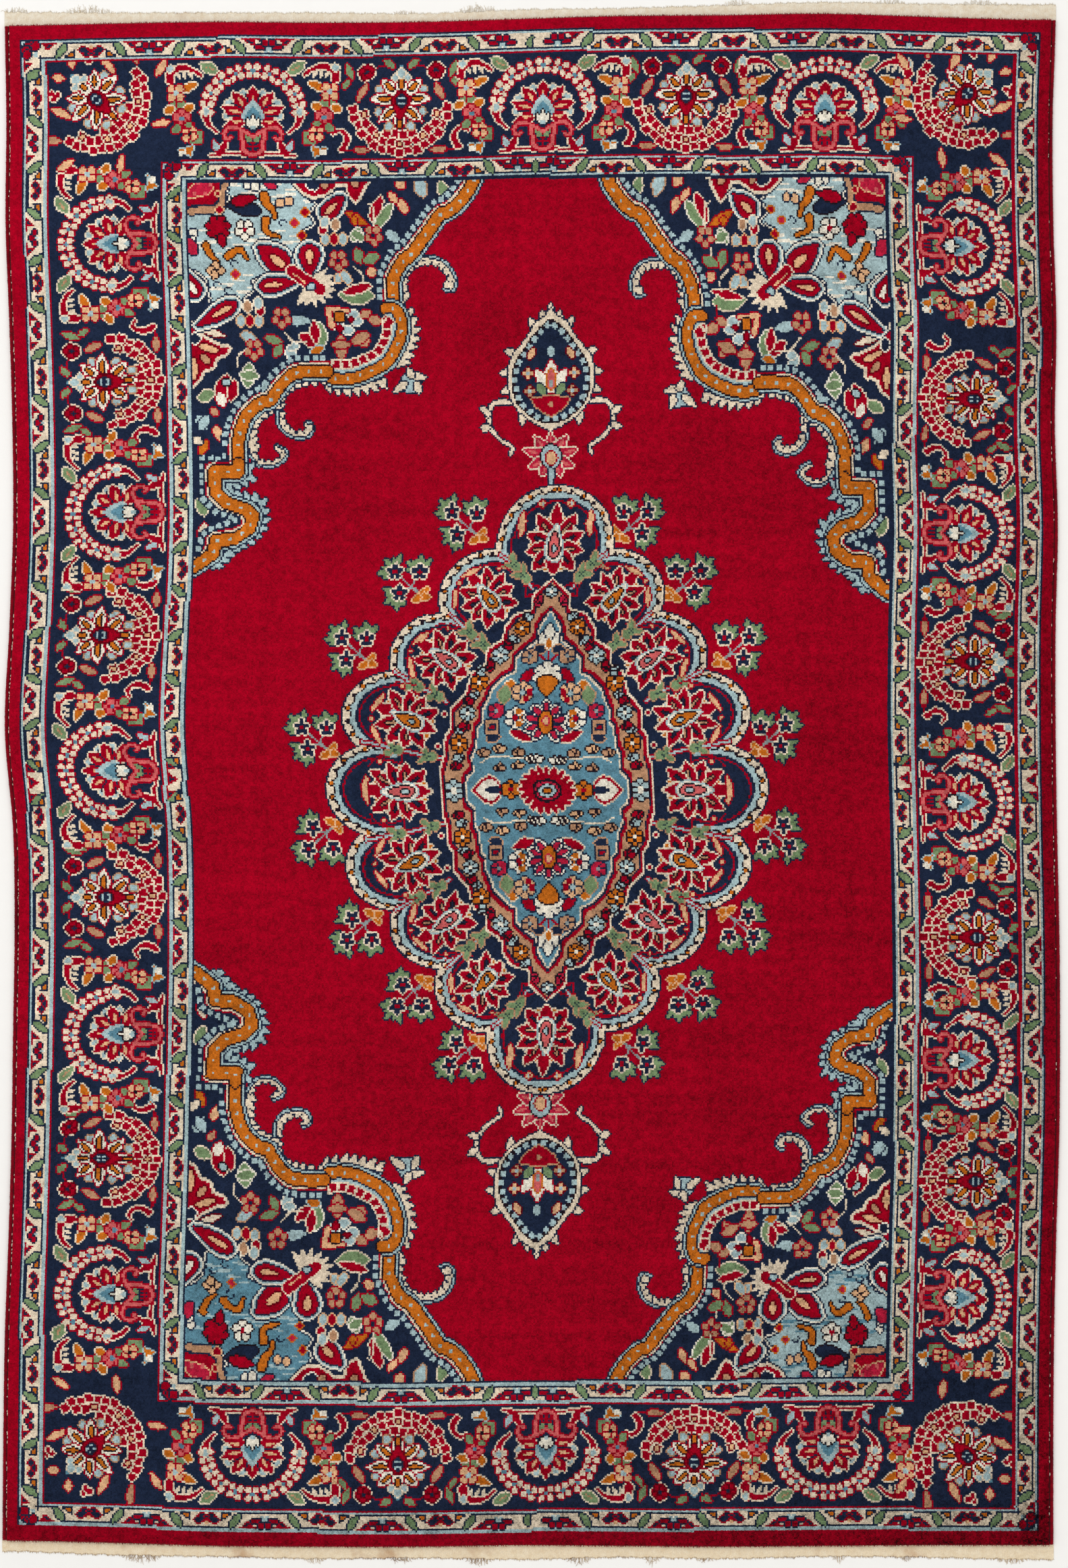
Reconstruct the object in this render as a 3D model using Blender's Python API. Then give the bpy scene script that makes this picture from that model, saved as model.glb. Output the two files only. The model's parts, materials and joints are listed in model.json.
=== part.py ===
"""A hand-knotted rug lying flat: a knotted pile, two flat-woven ends and two overcast side edges.

Lengths are metres. +X runs across the rug, +Y along it and +Z up from the floor. The origin is on the
floor under the middle of the rug's bounding box.
"""

import math
from typing import NamedTuple

import bmesh
import bpy

MM = 0.001

# Driving dimensions.
PILE_THICKNESS = 9.5 * MM  # foundation and pile together
PILE_UNEVENNESS = 0.35 * MM  # how far the clipped pile rises and dips
PILE_EDGE_ROUNDING = 3.0 * MM  # width of the rounded shoulder round the pile
SELVEDGE_WIDTH = 6.0 * MM
SELVEDGE_HEIGHT = 6.5 * MM
KELIM_THICKNESS = 2.0 * MM  # flat weave of the two ends
STRAND_THICKNESS = 1.1 * MM  # frayed warp ends where they leave the weave
STRAND_LENGTH = 2.6 * MM  # ordinary frayed warp ends
GAP = 0.3 * MM  # between neighbouring pieces

# How finely each piece is divided.
PILE_COLUMNS = 30
PILE_ROWS = 44
SELVEDGE_STATIONS = 60
SELVEDGE_SIDES = 8
STRANDS_PER_END = 110
STRAND_ROOT_SHARE = 0.3  # share of the strands' pitch that one root takes


class SideStation(NamedTuple):
    """Where the rug's two outer side edges lie, in mm from the middle line, at one place along it."""

    along: float
    left: float
    right: float


class EndStation(NamedTuple):
    """Where the pile and the flat weave end, in mm from the middle, at one place across the rug."""

    across: float
    pile_bottom: float
    pile_top: float
    kelim_bottom: float
    kelim_top: float


class Tuft(NamedTuple):
    """A place on an end where the warps have frayed longer, in mm."""

    across: float
    spread: float
    length: float


SIDE_STATIONS = (
    SideStation(along=-1010, left=-706, right=698),
    SideStation(along=-875, left=-705, right=698),
    SideStation(along=-740, left=-703, right=699),
    SideStation(along=-605, left=-698, right=702),
    SideStation(along=-470, left=-694, right=706),
    SideStation(along=-335, left=-692, right=707),
    SideStation(along=-200, left=-690, right=706),
    SideStation(along=-65, left=-692, right=703),
    SideStation(along=70, left=-703, right=701),
    SideStation(along=205, left=-697, right=701),
    SideStation(along=340, left=-692, right=704),
    SideStation(along=475, left=-693, right=700),
    SideStation(along=610, left=-697, right=702),
    SideStation(along=745, left=-702, right=698),
    SideStation(along=880, left=-701, right=697),
    SideStation(along=1015, left=-703, right=701),
)

END_STATIONS = (
    EndStation(across=-690, pile_bottom=-1013, pile_top=1008, kelim_bottom=-1029, kelim_top=1028),
    EndStation(across=-555, pile_bottom=-1016, pile_top=1011, kelim_bottom=-1034, kelim_top=1027),
    EndStation(across=-420, pile_bottom=-1020, pile_top=1013, kelim_bottom=-1036, kelim_top=1027),
    EndStation(across=-285, pile_bottom=-1021, pile_top=1012, kelim_bottom=-1039, kelim_top=1027),
    EndStation(across=-150, pile_bottom=-1021, pile_top=1013, kelim_bottom=-1038, kelim_top=1026),
    EndStation(across=-15, pile_bottom=-1019, pile_top=1017, kelim_bottom=-1040, kelim_top=1031),
    EndStation(across=120, pile_bottom=-1020, pile_top=1021, kelim_bottom=-1037, kelim_top=1033),
    EndStation(across=255, pile_bottom=-1021, pile_top=1022, kelim_bottom=-1039, kelim_top=1037),
    EndStation(across=390, pile_bottom=-1020, pile_top=1024, kelim_bottom=-1036, kelim_top=1041),
    EndStation(across=525, pile_bottom=-1019, pile_top=1020, kelim_bottom=-1037, kelim_top=1039),
    EndStation(across=660, pile_bottom=-1019, pile_top=1016, kelim_bottom=-1040, kelim_top=1038),
)

BOTTOM_TUFTS = (
    Tuft(across=-520, spread=24, length=11),
    Tuft(across=-288, spread=10, length=8),
    Tuft(across=-173, spread=14, length=9),
    Tuft(across=-70, spread=16, length=10),
    Tuft(across=65, spread=16, length=11),
    Tuft(across=162, spread=10, length=12),
    Tuft(across=232, spread=12, length=6),
    Tuft(across=412, spread=8, length=9),
    Tuft(across=500, spread=8, length=8),
    Tuft(across=640, spread=22, length=6),
)

TOP_TUFTS = (
    Tuft(across=-690, spread=20, length=7),
    Tuft(across=-590, spread=30, length=11),
    Tuft(across=-170, spread=14, length=5),
    Tuft(across=-72, spread=24, length=12),
    Tuft(across=275, spread=18, length=8),
    Tuft(across=480, spread=20, length=6),
    Tuft(across=600, spread=24, length=7),
)


def smooth_between(stations, column, key, place):
    """Reads one column of a station table at a place between its rows, along a smooth curve."""
    places = [getattr(row, key) * MM for row in stations]
    values = [getattr(row, column) * MM for row in stations]
    place = min(max(place, places[0]), places[-1])
    row = max(i for i in range(len(places) - 1) if places[i] <= place)
    share = (place - places[row]) / (places[row + 1] - places[row])
    before = values[max(row - 1, 0)]
    after = values[min(row + 2, len(values) - 1)]
    start, end = values[row], values[row + 1]
    pull = (end - before) * 0.5
    push = (after - start) * 0.5
    cube, square = share ** 3, share ** 2
    return (
        start * (2 * cube - 3 * square + 1)
        + pull * (cube - 2 * square + share)
        + end * (3 * square - 2 * cube)
        + push * (cube - square)
    )


def side_edge(side, along):
    """Gives the x of the outer side edge, side being left or right, at y = along."""
    return smooth_between(SIDE_STATIONS, side, "along", along)


def end_edge(end, across):
    """Gives the y of an end line, such as pile_top or kelim_bottom, at x = across."""
    return smooth_between(END_STATIONS, end, "across", across)


def fabric_point(across_share, along_share, side_inset):
    """Places a point of the pile by its shares across and along, between the rug's wavy edges."""
    y = (along_share - 0.5) * 2.0
    x = across_share - 0.5
    for _ in range(4):
        left = side_edge("left", y) + side_inset
        right = side_edge("right", y) - side_inset
        x = left + (right - left) * across_share
        bottom = end_edge("pile_bottom", x)
        top = end_edge("pile_top", x)
        y = bottom + (top - bottom) * along_share
    return x, y


def pile_height(x, y):
    """Gives the height of the clipped pile, which rises and dips a little in long soft waves."""
    wave = math.sin(x * 9.1 + y * 3.3) + math.sin(y * 7.7 - x * 2.1 + 1.3)
    return PILE_THICKNESS + PILE_UNEVENNESS * 0.5 * wave


def shoulder_shares(count, length, rounding):
    """Divides a run evenly, with one narrow division at each end for the rounded shoulder."""
    edge = rounding / length
    inner = [edge + (1 - 2 * edge) * i / (count - 2) for i in range(count - 1)]
    return [0.0] + inner + [1.0]


def make_material(name, colour, roughness):
    """Makes a plain cloth-like material."""
    material = bpy.data.materials.new(name)
    material.use_nodes = True
    shader = material.node_tree.nodes["Principled BSDF"]
    shader.inputs["Base Color"].default_value = (*colour, 1.0)
    shader.inputs["Roughness"].default_value = roughness
    shader.inputs["Metallic"].default_value = 0.0
    material.diffuse_color = (*colour, 1.0)
    return material


def finish_object(bm, name, material):
    """Turns a bmesh into a named object with its own material."""
    bmesh.ops.recalc_face_normals(bm, faces=bm.faces)
    mesh = bpy.data.meshes.new(name)
    bm.to_mesh(mesh)
    bm.free()
    mesh.shade_smooth()
    mesh.set_sharp_from_angle(angle=math.radians(40))
    mesh.materials.append(material)
    obj = bpy.data.objects.new(name, mesh)
    bpy.context.scene.collection.objects.link(obj)
    return obj


def make_pile():
    """Makes the knotted body: one slab with a flat back, wavy outline and rounded upper shoulder."""
    side_inset = SELVEDGE_WIDTH + GAP
    width = side_edge("right", 0) - side_edge("left", 0)
    length = end_edge("pile_top", 0) - end_edge("pile_bottom", 0)
    columns = shoulder_shares(PILE_COLUMNS, width, PILE_EDGE_ROUNDING)
    rows = shoulder_shares(PILE_ROWS, length, PILE_EDGE_ROUNDING)
    bm = bmesh.new()
    grid = []
    for row, along_share in enumerate(rows):
        line = []
        for column, across_share in enumerate(columns):
            x, y = fabric_point(across_share, along_share, side_inset)
            on_rim = row in (0, len(rows) - 1) or column in (0, len(columns) - 1)
            drop = PILE_EDGE_ROUNDING * 0.7 if on_rim else 0.0
            line.append(bm.verts.new((x, y, pile_height(x, y) - drop)))
        grid.append(line)
    for lower, upper in zip(grid, grid[1:]):
        for i in range(len(columns) - 1):
            bm.faces.new((lower[i], lower[i + 1], upper[i + 1], upper[i]))
    rim = [edge for edge in bm.edges if edge.is_boundary]
    skirt = bmesh.ops.extrude_edge_only(bm, edges=rim)["geom"]
    for vert in (item for item in skirt if isinstance(item, bmesh.types.BMVert)):
        vert.co.z = 0.0
    back_rim = [edge for edge in skirt if isinstance(edge, bmesh.types.BMEdge) and edge.is_boundary]
    bmesh.ops.contextual_create(bm, geom=back_rim)
    wool = make_material("knotted wool", (0.42, 0.02, 0.05), 0.95)
    return finish_object(bm, "pile", wool)


def make_selvedge(side):
    """Makes one overcast side edge: a low cord with a flat foot and a round top."""
    inward = 1.0 if side == "left" else -1.0
    x_corner = side_edge(side, 0)
    bottom = end_edge("pile_bottom", x_corner)
    top = end_edge("pile_top", x_corner)
    bm = bmesh.new()
    rings = []
    for station in range(SELVEDGE_STATIONS + 1):
        y = bottom + (top - bottom) * station / SELVEDGE_STATIONS
        middle = side_edge(side, y) + inward * SELVEDGE_WIDTH / 2
        ring = []
        for corner in range(SELVEDGE_SIDES):
            turn = math.pi * corner / (SELVEDGE_SIDES - 1)
            squareness = 0.75
            x = middle + SELVEDGE_WIDTH / 2 * math.copysign(abs(math.cos(turn)) ** squareness, math.cos(turn))
            ring.append(bm.verts.new((x, y, SELVEDGE_HEIGHT * math.sin(turn) ** squareness)))
        rings.append(ring)
    for ring in rings:
        ring[0].co.z = ring[-1].co.z = 0.0
    for near, far in zip(rings, rings[1:]):
        for i in range(SELVEDGE_SIDES):
            after = (i + 1) % SELVEDGE_SIDES
            bm.faces.new((near[i], near[after], far[after], far[i]))
    bm.faces.new(rings[0])
    bm.faces.new(rings[-1])
    wool = make_material(f"overcast wool {side}", (0.33, 0.02, 0.04), 0.95)
    return finish_object(bm, f"selvedge_{side}", wool)


def strand_length(x, index, tufts):
    """Gives one frayed warp's length, longer inside a tuft and uneven everywhere."""
    length = STRAND_LENGTH * (1.0 + 0.45 * math.sin(index * 2.4) + 0.25 * math.sin(index * 5.9 + 1.0))
    for tuft in tufts:
        nearness = 1.0 - abs(x - tuft.across * MM) / (tuft.spread * MM)
        if nearness > 0:
            length += tuft.length * MM * math.sqrt(nearness) * (0.75 + 0.25 * math.sin(index * 3.7))
    return length


def grow_strand(bm, root, outward, length, sway):
    """Draws a frayed warp end out of the weave's outer edge, level on the floor, in two bends."""
    face = root
    for step, narrowing in enumerate((0.8, 0.45)):
        face = bmesh.ops.extrude_discrete_faces(bm, faces=[face])["faces"][0]
        middle = face.calc_center_median()
        for vert in face.verts:
            vert.co.x = middle.x + (vert.co.x - middle.x) * narrowing + sway * (step + 1)
            vert.co.y += outward * length / 2
            if vert.co.z > 0:
                vert.co.z = STRAND_THICKNESS * narrowing


def make_kelim(end, tufts):
    """Makes one flat-woven end, whose outer edge frays into loose warp ends fused at their roots."""
    outward = 1.0 if end == "top" else -1.0
    y_corner = end_edge(f"pile_{end}", 0)
    left = side_edge("left", y_corner)
    right = side_edge("right", y_corner)
    pitch = (right - left) / STRANDS_PER_END
    edges = []
    for i in range(STRANDS_PER_END):
        edges.append(left + pitch * i)
        edges.append(left + pitch * (i + 1 - STRAND_ROOT_SHARE))
    edges.append(right)
    bm = bmesh.new()
    rows = []
    for x in edges:
        inner = end_edge(f"pile_{end}", x) + outward * GAP
        outer = end_edge(f"kelim_{end}", x)
        rows.append([
            bm.verts.new((x, inner, 0.0)),
            bm.verts.new((x, outer, 0.0)),
            bm.verts.new((x, outer, STRAND_THICKNESS)),
            bm.verts.new((x, inner, KELIM_THICKNESS)),
        ])
    roots = []
    for i, (near, far) in enumerate(zip(rows, rows[1:])):
        for corner in range(4):
            after = (corner + 1) % 4
            face = bm.faces.new((near[corner], near[after], far[after], far[corner]))
            if corner == 1 and i % 2 == 1:
                roots.append(face)
    bm.faces.new(rows[0])
    bm.faces.new(rows[-1])
    bmesh.ops.recalc_face_normals(bm, faces=bm.faces)
    for index, root in enumerate(roots):
        length = strand_length(root.calc_center_median().x, index, tufts)
        sway = pitch * 0.22 * math.sin(index * 1.9)
        grow_strand(bm, root, outward, length, sway)
    cotton = make_material(f"flat-woven cotton {end}", (0.80, 0.70, 0.56), 0.9)
    return finish_object(bm, f"kelim_{end}", cotton)


def centre_on_floor(pieces):
    """Shifts every piece alike, so that the rug's bounding box is centred over the origin."""
    points = [vert.co for piece in pieces for vert in piece.data.vertices]
    middle_x = (min(p.x for p in points) + max(p.x for p in points)) / 2
    middle_y = (min(p.y for p in points) + max(p.y for p in points)) / 2
    for piece in pieces:
        for vert in piece.data.vertices:
            vert.co.x -= middle_x
            vert.co.y -= middle_y


def main():
    """Builds the rug's five pieces."""
    for obj in list(bpy.data.objects):
        bpy.data.objects.remove(obj, do_unlink=True)
    pieces = [
        make_pile(),
        make_kelim("top", TOP_TUFTS),
        make_kelim("bottom", BOTTOM_TUFTS),
        make_selvedge("left"),
        make_selvedge("right"),
    ]
    centre_on_floor(pieces)


main()
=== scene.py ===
"""A hand-knotted persian rug, dressed for the camera.

The pile is one sheet whose every knot is read from a weaver's chart that this script draws by rule. The
flat-woven ends, their frayed warps, the overcast side cords and the loose wool are modelled thread by thread.
Lengths are metres unless a name or comment says knots or millimetres. +X runs across the rug, +Y along it.
"""

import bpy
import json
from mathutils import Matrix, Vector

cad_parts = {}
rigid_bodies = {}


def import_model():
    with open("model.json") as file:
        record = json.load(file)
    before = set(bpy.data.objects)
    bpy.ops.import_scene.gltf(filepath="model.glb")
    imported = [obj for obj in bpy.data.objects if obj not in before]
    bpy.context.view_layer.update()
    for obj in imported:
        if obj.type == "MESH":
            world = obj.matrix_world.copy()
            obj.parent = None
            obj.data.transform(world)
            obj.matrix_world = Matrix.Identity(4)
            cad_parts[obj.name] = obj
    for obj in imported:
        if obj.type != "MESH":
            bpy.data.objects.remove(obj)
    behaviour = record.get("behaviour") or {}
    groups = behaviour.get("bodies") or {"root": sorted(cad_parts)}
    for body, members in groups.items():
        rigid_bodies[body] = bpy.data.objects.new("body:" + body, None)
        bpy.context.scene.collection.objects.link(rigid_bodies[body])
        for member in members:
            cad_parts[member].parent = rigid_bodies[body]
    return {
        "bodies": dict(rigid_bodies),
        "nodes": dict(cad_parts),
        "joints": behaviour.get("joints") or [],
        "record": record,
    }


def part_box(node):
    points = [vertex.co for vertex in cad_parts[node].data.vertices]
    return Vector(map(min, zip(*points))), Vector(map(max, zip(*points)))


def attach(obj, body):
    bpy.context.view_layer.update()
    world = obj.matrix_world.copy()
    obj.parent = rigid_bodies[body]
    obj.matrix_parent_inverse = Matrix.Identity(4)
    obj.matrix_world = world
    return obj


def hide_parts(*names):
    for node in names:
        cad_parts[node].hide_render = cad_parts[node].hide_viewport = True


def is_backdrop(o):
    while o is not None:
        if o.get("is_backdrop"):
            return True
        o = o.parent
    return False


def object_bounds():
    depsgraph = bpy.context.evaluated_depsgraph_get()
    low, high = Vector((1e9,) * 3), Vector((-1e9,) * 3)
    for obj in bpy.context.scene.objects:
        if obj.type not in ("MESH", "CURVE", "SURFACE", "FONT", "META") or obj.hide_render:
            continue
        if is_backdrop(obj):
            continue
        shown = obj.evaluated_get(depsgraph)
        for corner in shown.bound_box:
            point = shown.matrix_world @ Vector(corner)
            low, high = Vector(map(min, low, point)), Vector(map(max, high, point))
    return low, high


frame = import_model()
cad_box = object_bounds()

import copy
import json
import logging
import math
from collections.abc import Sequence
from dataclasses import dataclass
from enum import Enum
from typing import NamedTuple

import bpy
import numpy as np

log = logging.getLogger("rug")
MM = 0.001

class Wool(Enum):
    """The pile's dyed wools: the letter that the drafts use for each, and its colour as a screen shows it."""

    CRIMSON = "r", (0.630, 0.000, 0.115)
    WINE = "w", (0.400, 0.000, 0.070)
    NAVY = "n", (0.115, 0.155, 0.245)
    CHARCOAL = "k", (0.125, 0.085, 0.120)
    SKY = "s", (0.650, 0.745, 0.755)
    BLUE = "b", (0.365, 0.540, 0.610)
    IVORY = "i", (0.930, 0.900, 0.830)
    CREAM = "c", (0.900, 0.830, 0.730)
    TAN = "t", (0.730, 0.550, 0.420)
    OCHRE = "o", (0.780, 0.420, 0.110)
    GREEN = "g", (0.470, 0.565, 0.405)
    PINE = "G", (0.210, 0.290, 0.270)
    PINK = "p", (0.820, 0.380, 0.380)
    PEACH = "a", (0.880, 0.690, 0.520)
    STEEL = "m", (0.560, 0.600, 0.600)
    ROSE = "x", (0.740, 0.120, 0.240)


LETTERS = {wool.value[0]: number for number, wool in enumerate(Wool)}  # each letter's number in the chart

Point = tuple[float, float]


def grown(mask: np.ndarray, rings: int = 1) -> np.ndarray:
    """Widens a figure by whole knots.

    Args:
        mask: The figure, true where it lies.
        rings: How many knots to add all round.

    Returns:
        The wider figure.
    """
    wide = mask.copy()
    for _ in range(rings):
        step = wide.copy()
        step[1:] |= wide[:-1]
        step[:-1] |= wide[1:]
        step[:, 1:] |= wide[:, :-1]
        step[:, :-1] |= wide[:, 1:]
        wide = step
    return wide


def smooth_line(points: Sequence[Point], steps: int = 6) -> list[Point]:
    """Rounds a line into a curve through the same points.

    Args:
        points: The line's points, in order.
        steps: How many short pieces each stretch becomes.

    Returns:
        The points of the curve.
    """
    p = np.array([points[0], *points, points[-1]], dtype=float)
    t = np.linspace(0, 1, steps, endpoint=False)[:, None]
    curve = []
    for a, b, c, d in zip(p, p[1:], p[2:], p[3:]):
        curve.extend(b + 0.5 * t * (c - a + t * (2 * a - 5 * b + 4 * c - d + t * (3 * (b - c) + d - a))))
    curve.append(p[-1])
    return [tuple(point) for point in curve]


def ray(length: float, lean: float, u: float = 0.0, v: float = 0.0) -> Point:
    """Finds the point at a distance and a direction, in degrees, from another."""
    angle = math.radians(lean)
    return u + length * math.cos(angle), v + length * math.sin(angle)


def part_way(start: Point, tip: Point, share: float) -> Point:
    """Finds the point at a share of the way from one point to another."""
    return start[0] + (tip[0] - start[0]) * share, start[1] + (tip[1] - start[1]) * share


class Chart:
    """The weaver's chart: one wool for every knot, with row 0 at the rug's top end."""

    def __init__(self, columns: int, rows: int) -> None:
        """Starts a plain crimson chart.

        Args:
            columns: Knots across the rug.
            rows: Knots along the rug.
        """
        self.columns = columns
        self.rows = rows
        self.knots = np.full((rows, columns), LETTERS["r"], dtype=np.uint8)

    def panel(self, left: float, top: float, right: float, bottom: float, wool: str) -> None:
        """Fills a rectangle, given by how far each side lies in from the chart's edge."""
        x0, x1 = round(left), round(self.columns - right)
        self.knots[round(top):round(self.rows - bottom), x0:x1] = LETTERS[wool]

    def within(self, frame: "Frame") -> np.ndarray:
        """Marks the knots that lie inside a frame's outer edge.

        Args:
            frame: The frame.

        Returns:
            True for each knot inside it.
        """
        mask = np.zeros(self.knots.shape, dtype=bool)
        mask[round(frame.top):round(self.rows - frame.bottom), round(frame.left):round(self.columns
            - frame.right)] = True
        return mask

    def figure(self, x: float, y: float, reach: float, **placing: float) -> "Figure":
        """Opens a window of the chart for one figure."""
        return Figure(self, x, y, reach, **placing)


class Figure:
    """A window of the chart with a motif's own axes: u to its right and v up, in knots."""

    def __init__(self, chart: Chart, x: float, y: float, reach: float, turn: float = 0.0, flip: bool = False,
            wide: float = 1.0, tall: float = 1.0, slant: float = 0.0) -> None:
        """Places the window.

        Args:
            chart: The chart to draw on.
            x: Column of the motif's origin.
            y: Row of the motif's origin.
            reach: Half the window's side, in knots.
            turn: Turn of the motif, in degrees anticlockwise.
            flip: Whether the motif is mirrored left to right.
            wide: Stretch of the motif across.
            tall: Stretch of the motif upwards.
            slant: Sideways shift for each knot upwards.
        """
        x0, x1 = max(int(x - reach), 0), min(int(x + reach) + 1, chart.columns)
        y0, y1 = max(int(y - reach), 0), min(int(y + reach) + 1, chart.rows)
        self.knots = chart.knots[y0:y1, x0:x1]
        right, down = np.meshgrid(np.arange(x0, x1) + 0.5 - x, np.arange(y0, y1) + 0.5 - y)
        angle = math.radians(turn)
        u = right * math.cos(angle) - down * math.sin(angle)
        v = -(right * math.sin(angle) + down * math.cos(angle))
        self.u = (u - slant * v) / (-wide if flip else wide)
        self.v = v / tall

    def mirrored(self) -> "Figure":
        """Gives the same window folded down the middle, so that each shape shows on both sides.

        Returns:
            The folded window.
        """
        twin = copy.copy(self)
        twin.u = np.abs(self.u)
        return twin

    def moved(self, u: float, v: float, turn: float = 0.0, size: float = 1.0) -> "Figure":
        """Gives the same window with its axes moved, turned and resized.

        Args:
            u: New origin, across.
            v: New origin, upwards.
            turn: Turn of the new axes, in degrees anticlockwise.
            size: Size of the new unit.

        Returns:
            The window with its new axes.
        """
        twin = copy.copy(self)
        angle = math.radians(turn)
        du, dv = self.u - u, self.v - v
        twin.u = (du * math.cos(angle) + dv * math.sin(angle)) / size
        twin.v = (dv * math.cos(angle) - du * math.sin(angle)) / size
        return twin

    def patch(self, points: Sequence[Point], margin: float) -> tuple[slice, slice]:
        """Finds the rows and columns of the window that a shape can touch.

        Args:
            points: The shape's points.
            margin: How far the shape reaches beyond them.

        Returns:
            The rows and the columns.
        """
        right, up = [point[0] for point in points], [point[1] for point in points]
        near = (self.u >= min(right) - margin) & (self.u <= max(right) + margin)
        near &= (self.v >= min(up) - margin) & (self.v <= max(up) + margin)
        rows, columns = np.flatnonzero(near.any(axis=1)), np.flatnonzero(near.any(axis=0))
        if not rows.size:
            return slice(0, 0), slice(0, 0)
        return slice(rows[0], rows[-1] + 1), slice(columns[0], columns[-1] + 1)

    def spindle(self, start: Point, tip: Point, reach: float) -> tuple[tuple[slice, slice], np.ndarray,
            np.ndarray]:
        """Measures the knots near a line: where they lie along it, from 0 to 1, and how far aside.

        Args:
            start: Where the line starts.
            tip: Where it ends.
            reach: How far beyond it to look.

        Returns:
            The rows and columns near it, then each knot's share of the way and its distance aside.
        """
        box = self.patch((start, tip), reach)
        du, dv = tip[0] - start[0], tip[1] - start[1]
        length = math.hypot(du, dv)
        u, v = self.u[box] - start[0], self.v[box] - start[1]
        return box, (u * du + v * dv) / length ** 2, np.abs(v * du - u * dv) / length

    def oval(self, u: float, v: float, across: float, up: float | None = None) -> np.ndarray:
        """Shapes an oval by its middle and its two half-widths.

        Args:
            u: Its middle, across.
            v: Its middle, upwards.
            across: Half its width.
            up: Half its height, where that differs.

        Returns:
            The oval's knots.
        """
        mask = np.zeros(self.u.shape, dtype=bool)
        box = self.patch([(u, v)], max(across, up or across))
        mask[box] = ((self.u[box] - u) / across) ** 2 + ((self.v[box] - v) / (up or across)) ** 2 <= 1.0
        return mask

    def petal(self, start: Point, tip: Point, width: float, fullness: float = 0.45) -> np.ndarray:
        """Shapes a petal with a round root and a pointed tip.

        Args:
            start: Where it grows from.
            tip: Where it ends.
            width: Its greatest width.
            fullness: How far along it is widest, from 0 to 1.

        Returns:
            The petal's knots.
        """
        mask = np.zeros(self.u.shape, dtype=bool)
        box, along, aside = self.spindle(start, tip, width)
        inside = np.clip(along, 0.0, 1.0)
        root, point = inside / fullness, (1 - inside) / (1 - fullness)
        bulge = np.where(inside < fullness, np.sqrt(root * (2 - np.minimum(root, 1))), point
            * (1.7 - 0.7 * point))
        mask[box] = (along >= -0.02) & (along <= 1.02) & (aside <= width / 2 * bulge + 0.2)
        return mask

    def lens(self, start: Point, tip: Point, width: float) -> np.ndarray:
        """Shapes a leaf that is pointed at both ends.

        Args:
            start: Where it grows from.
            tip: Where it ends.
            width: Its greatest width.

        Returns:
            The leaf's knots.
        """
        mask = np.zeros(self.u.shape, dtype=bool)
        box, along, aside = self.spindle(start, tip, width)
        mask[box] = (along > -0.03) & (along < 1.03) & (aside <= width * 2 * along * (1 - along) + 0.3)
        return mask

    def band(self, points: Sequence[Point], width: float, end_width: float | None = None,
            smooth: bool = True) -> np.ndarray:
        """Shapes a band along a line.

        Args:
            points: The line's points.
            width: Width at the line's start.
            end_width: Width at its end, where it tapers.
            smooth: Whether the line is rounded into a curve.

        Returns:
            The band's knots.
        """
        line = smooth_line(points) if smooth and len(points) > 2 else list(points)
        mask = np.zeros(self.u.shape, dtype=bool)
        last = width if end_width is None else end_width
        for first in range(0, len(line) - 1, 5):
            box = self.patch(line[first:first + 6], max(width, last))
            right, up = self.u[box], self.v[box]
            for i in range(first, min(first + 5, len(line) - 1)):
                (u0, v0), (u1, v1) = line[i], line[i + 1]
                du, dv = u1 - u0, v1 - v0
                share = np.clip(((right - u0) * du + (up - v0) * dv) / max(du * du + dv * dv, 1e-9), 0, 1)
                gap = np.hypot(right - u0 - share * du, up - v0 - share * dv)
                mask[box] |= gap <= (width + (last - width) * (i + share) / (len(line) - 1)) / 2
        return mask

    def area(self, points: Sequence[Point], smooth: bool = False) -> np.ndarray:
        """Shapes a closed area from the points of its outline.

        Args:
            points: The outline's points.
            smooth: Whether the outline is rounded into a curve.

        Returns:
            The area's knots.
        """
        ring = smooth_line([*points, points[0]]) if smooth else list(points)
        inside = np.zeros(self.u.shape, dtype=bool)
        for (u0, v0), (u1, v1) in zip(ring, ring[1:] + ring[:1]):
            if v0 == v1:
                continue
            crosses = (self.v >= min(v0, v1)) & (self.v < max(v0, v1))
            inside ^= crosses & (self.u < u0 + (self.v - v0) * (u1 - u0) / (v1 - v0))
        return inside

    def square(self, half: float, u: float = 0.0, v: float = 0.0) -> np.ndarray:
        """Shapes a square by half its side and its middle."""
        return (np.abs(self.u - u) < half) & (np.abs(self.v - v) < half)

    def fill(self, mask: np.ndarray, wools: str) -> None:
        """Knots a shape in the first letter's wool and its outline in the next ones', a ring for each."""
        for rings in reversed(range(len(wools))):
            self.knots[grown(mask, rings)] = LETTERS[wools[rings]]

    def ovals(self, wools: str, *measures: tuple[float, ...]) -> None:
        """Knots ovals one after the other, each from its own measures."""
        for each in measures:
            self.fill(self.oval(*each), wools)

    def petals(self, wools: str, *measures: tuple[Point | float, ...]) -> None:
        """Knots petals one after the other, each from its own measures."""
        for each in measures:
            self.fill(self.petal(*each), wools)

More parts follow.
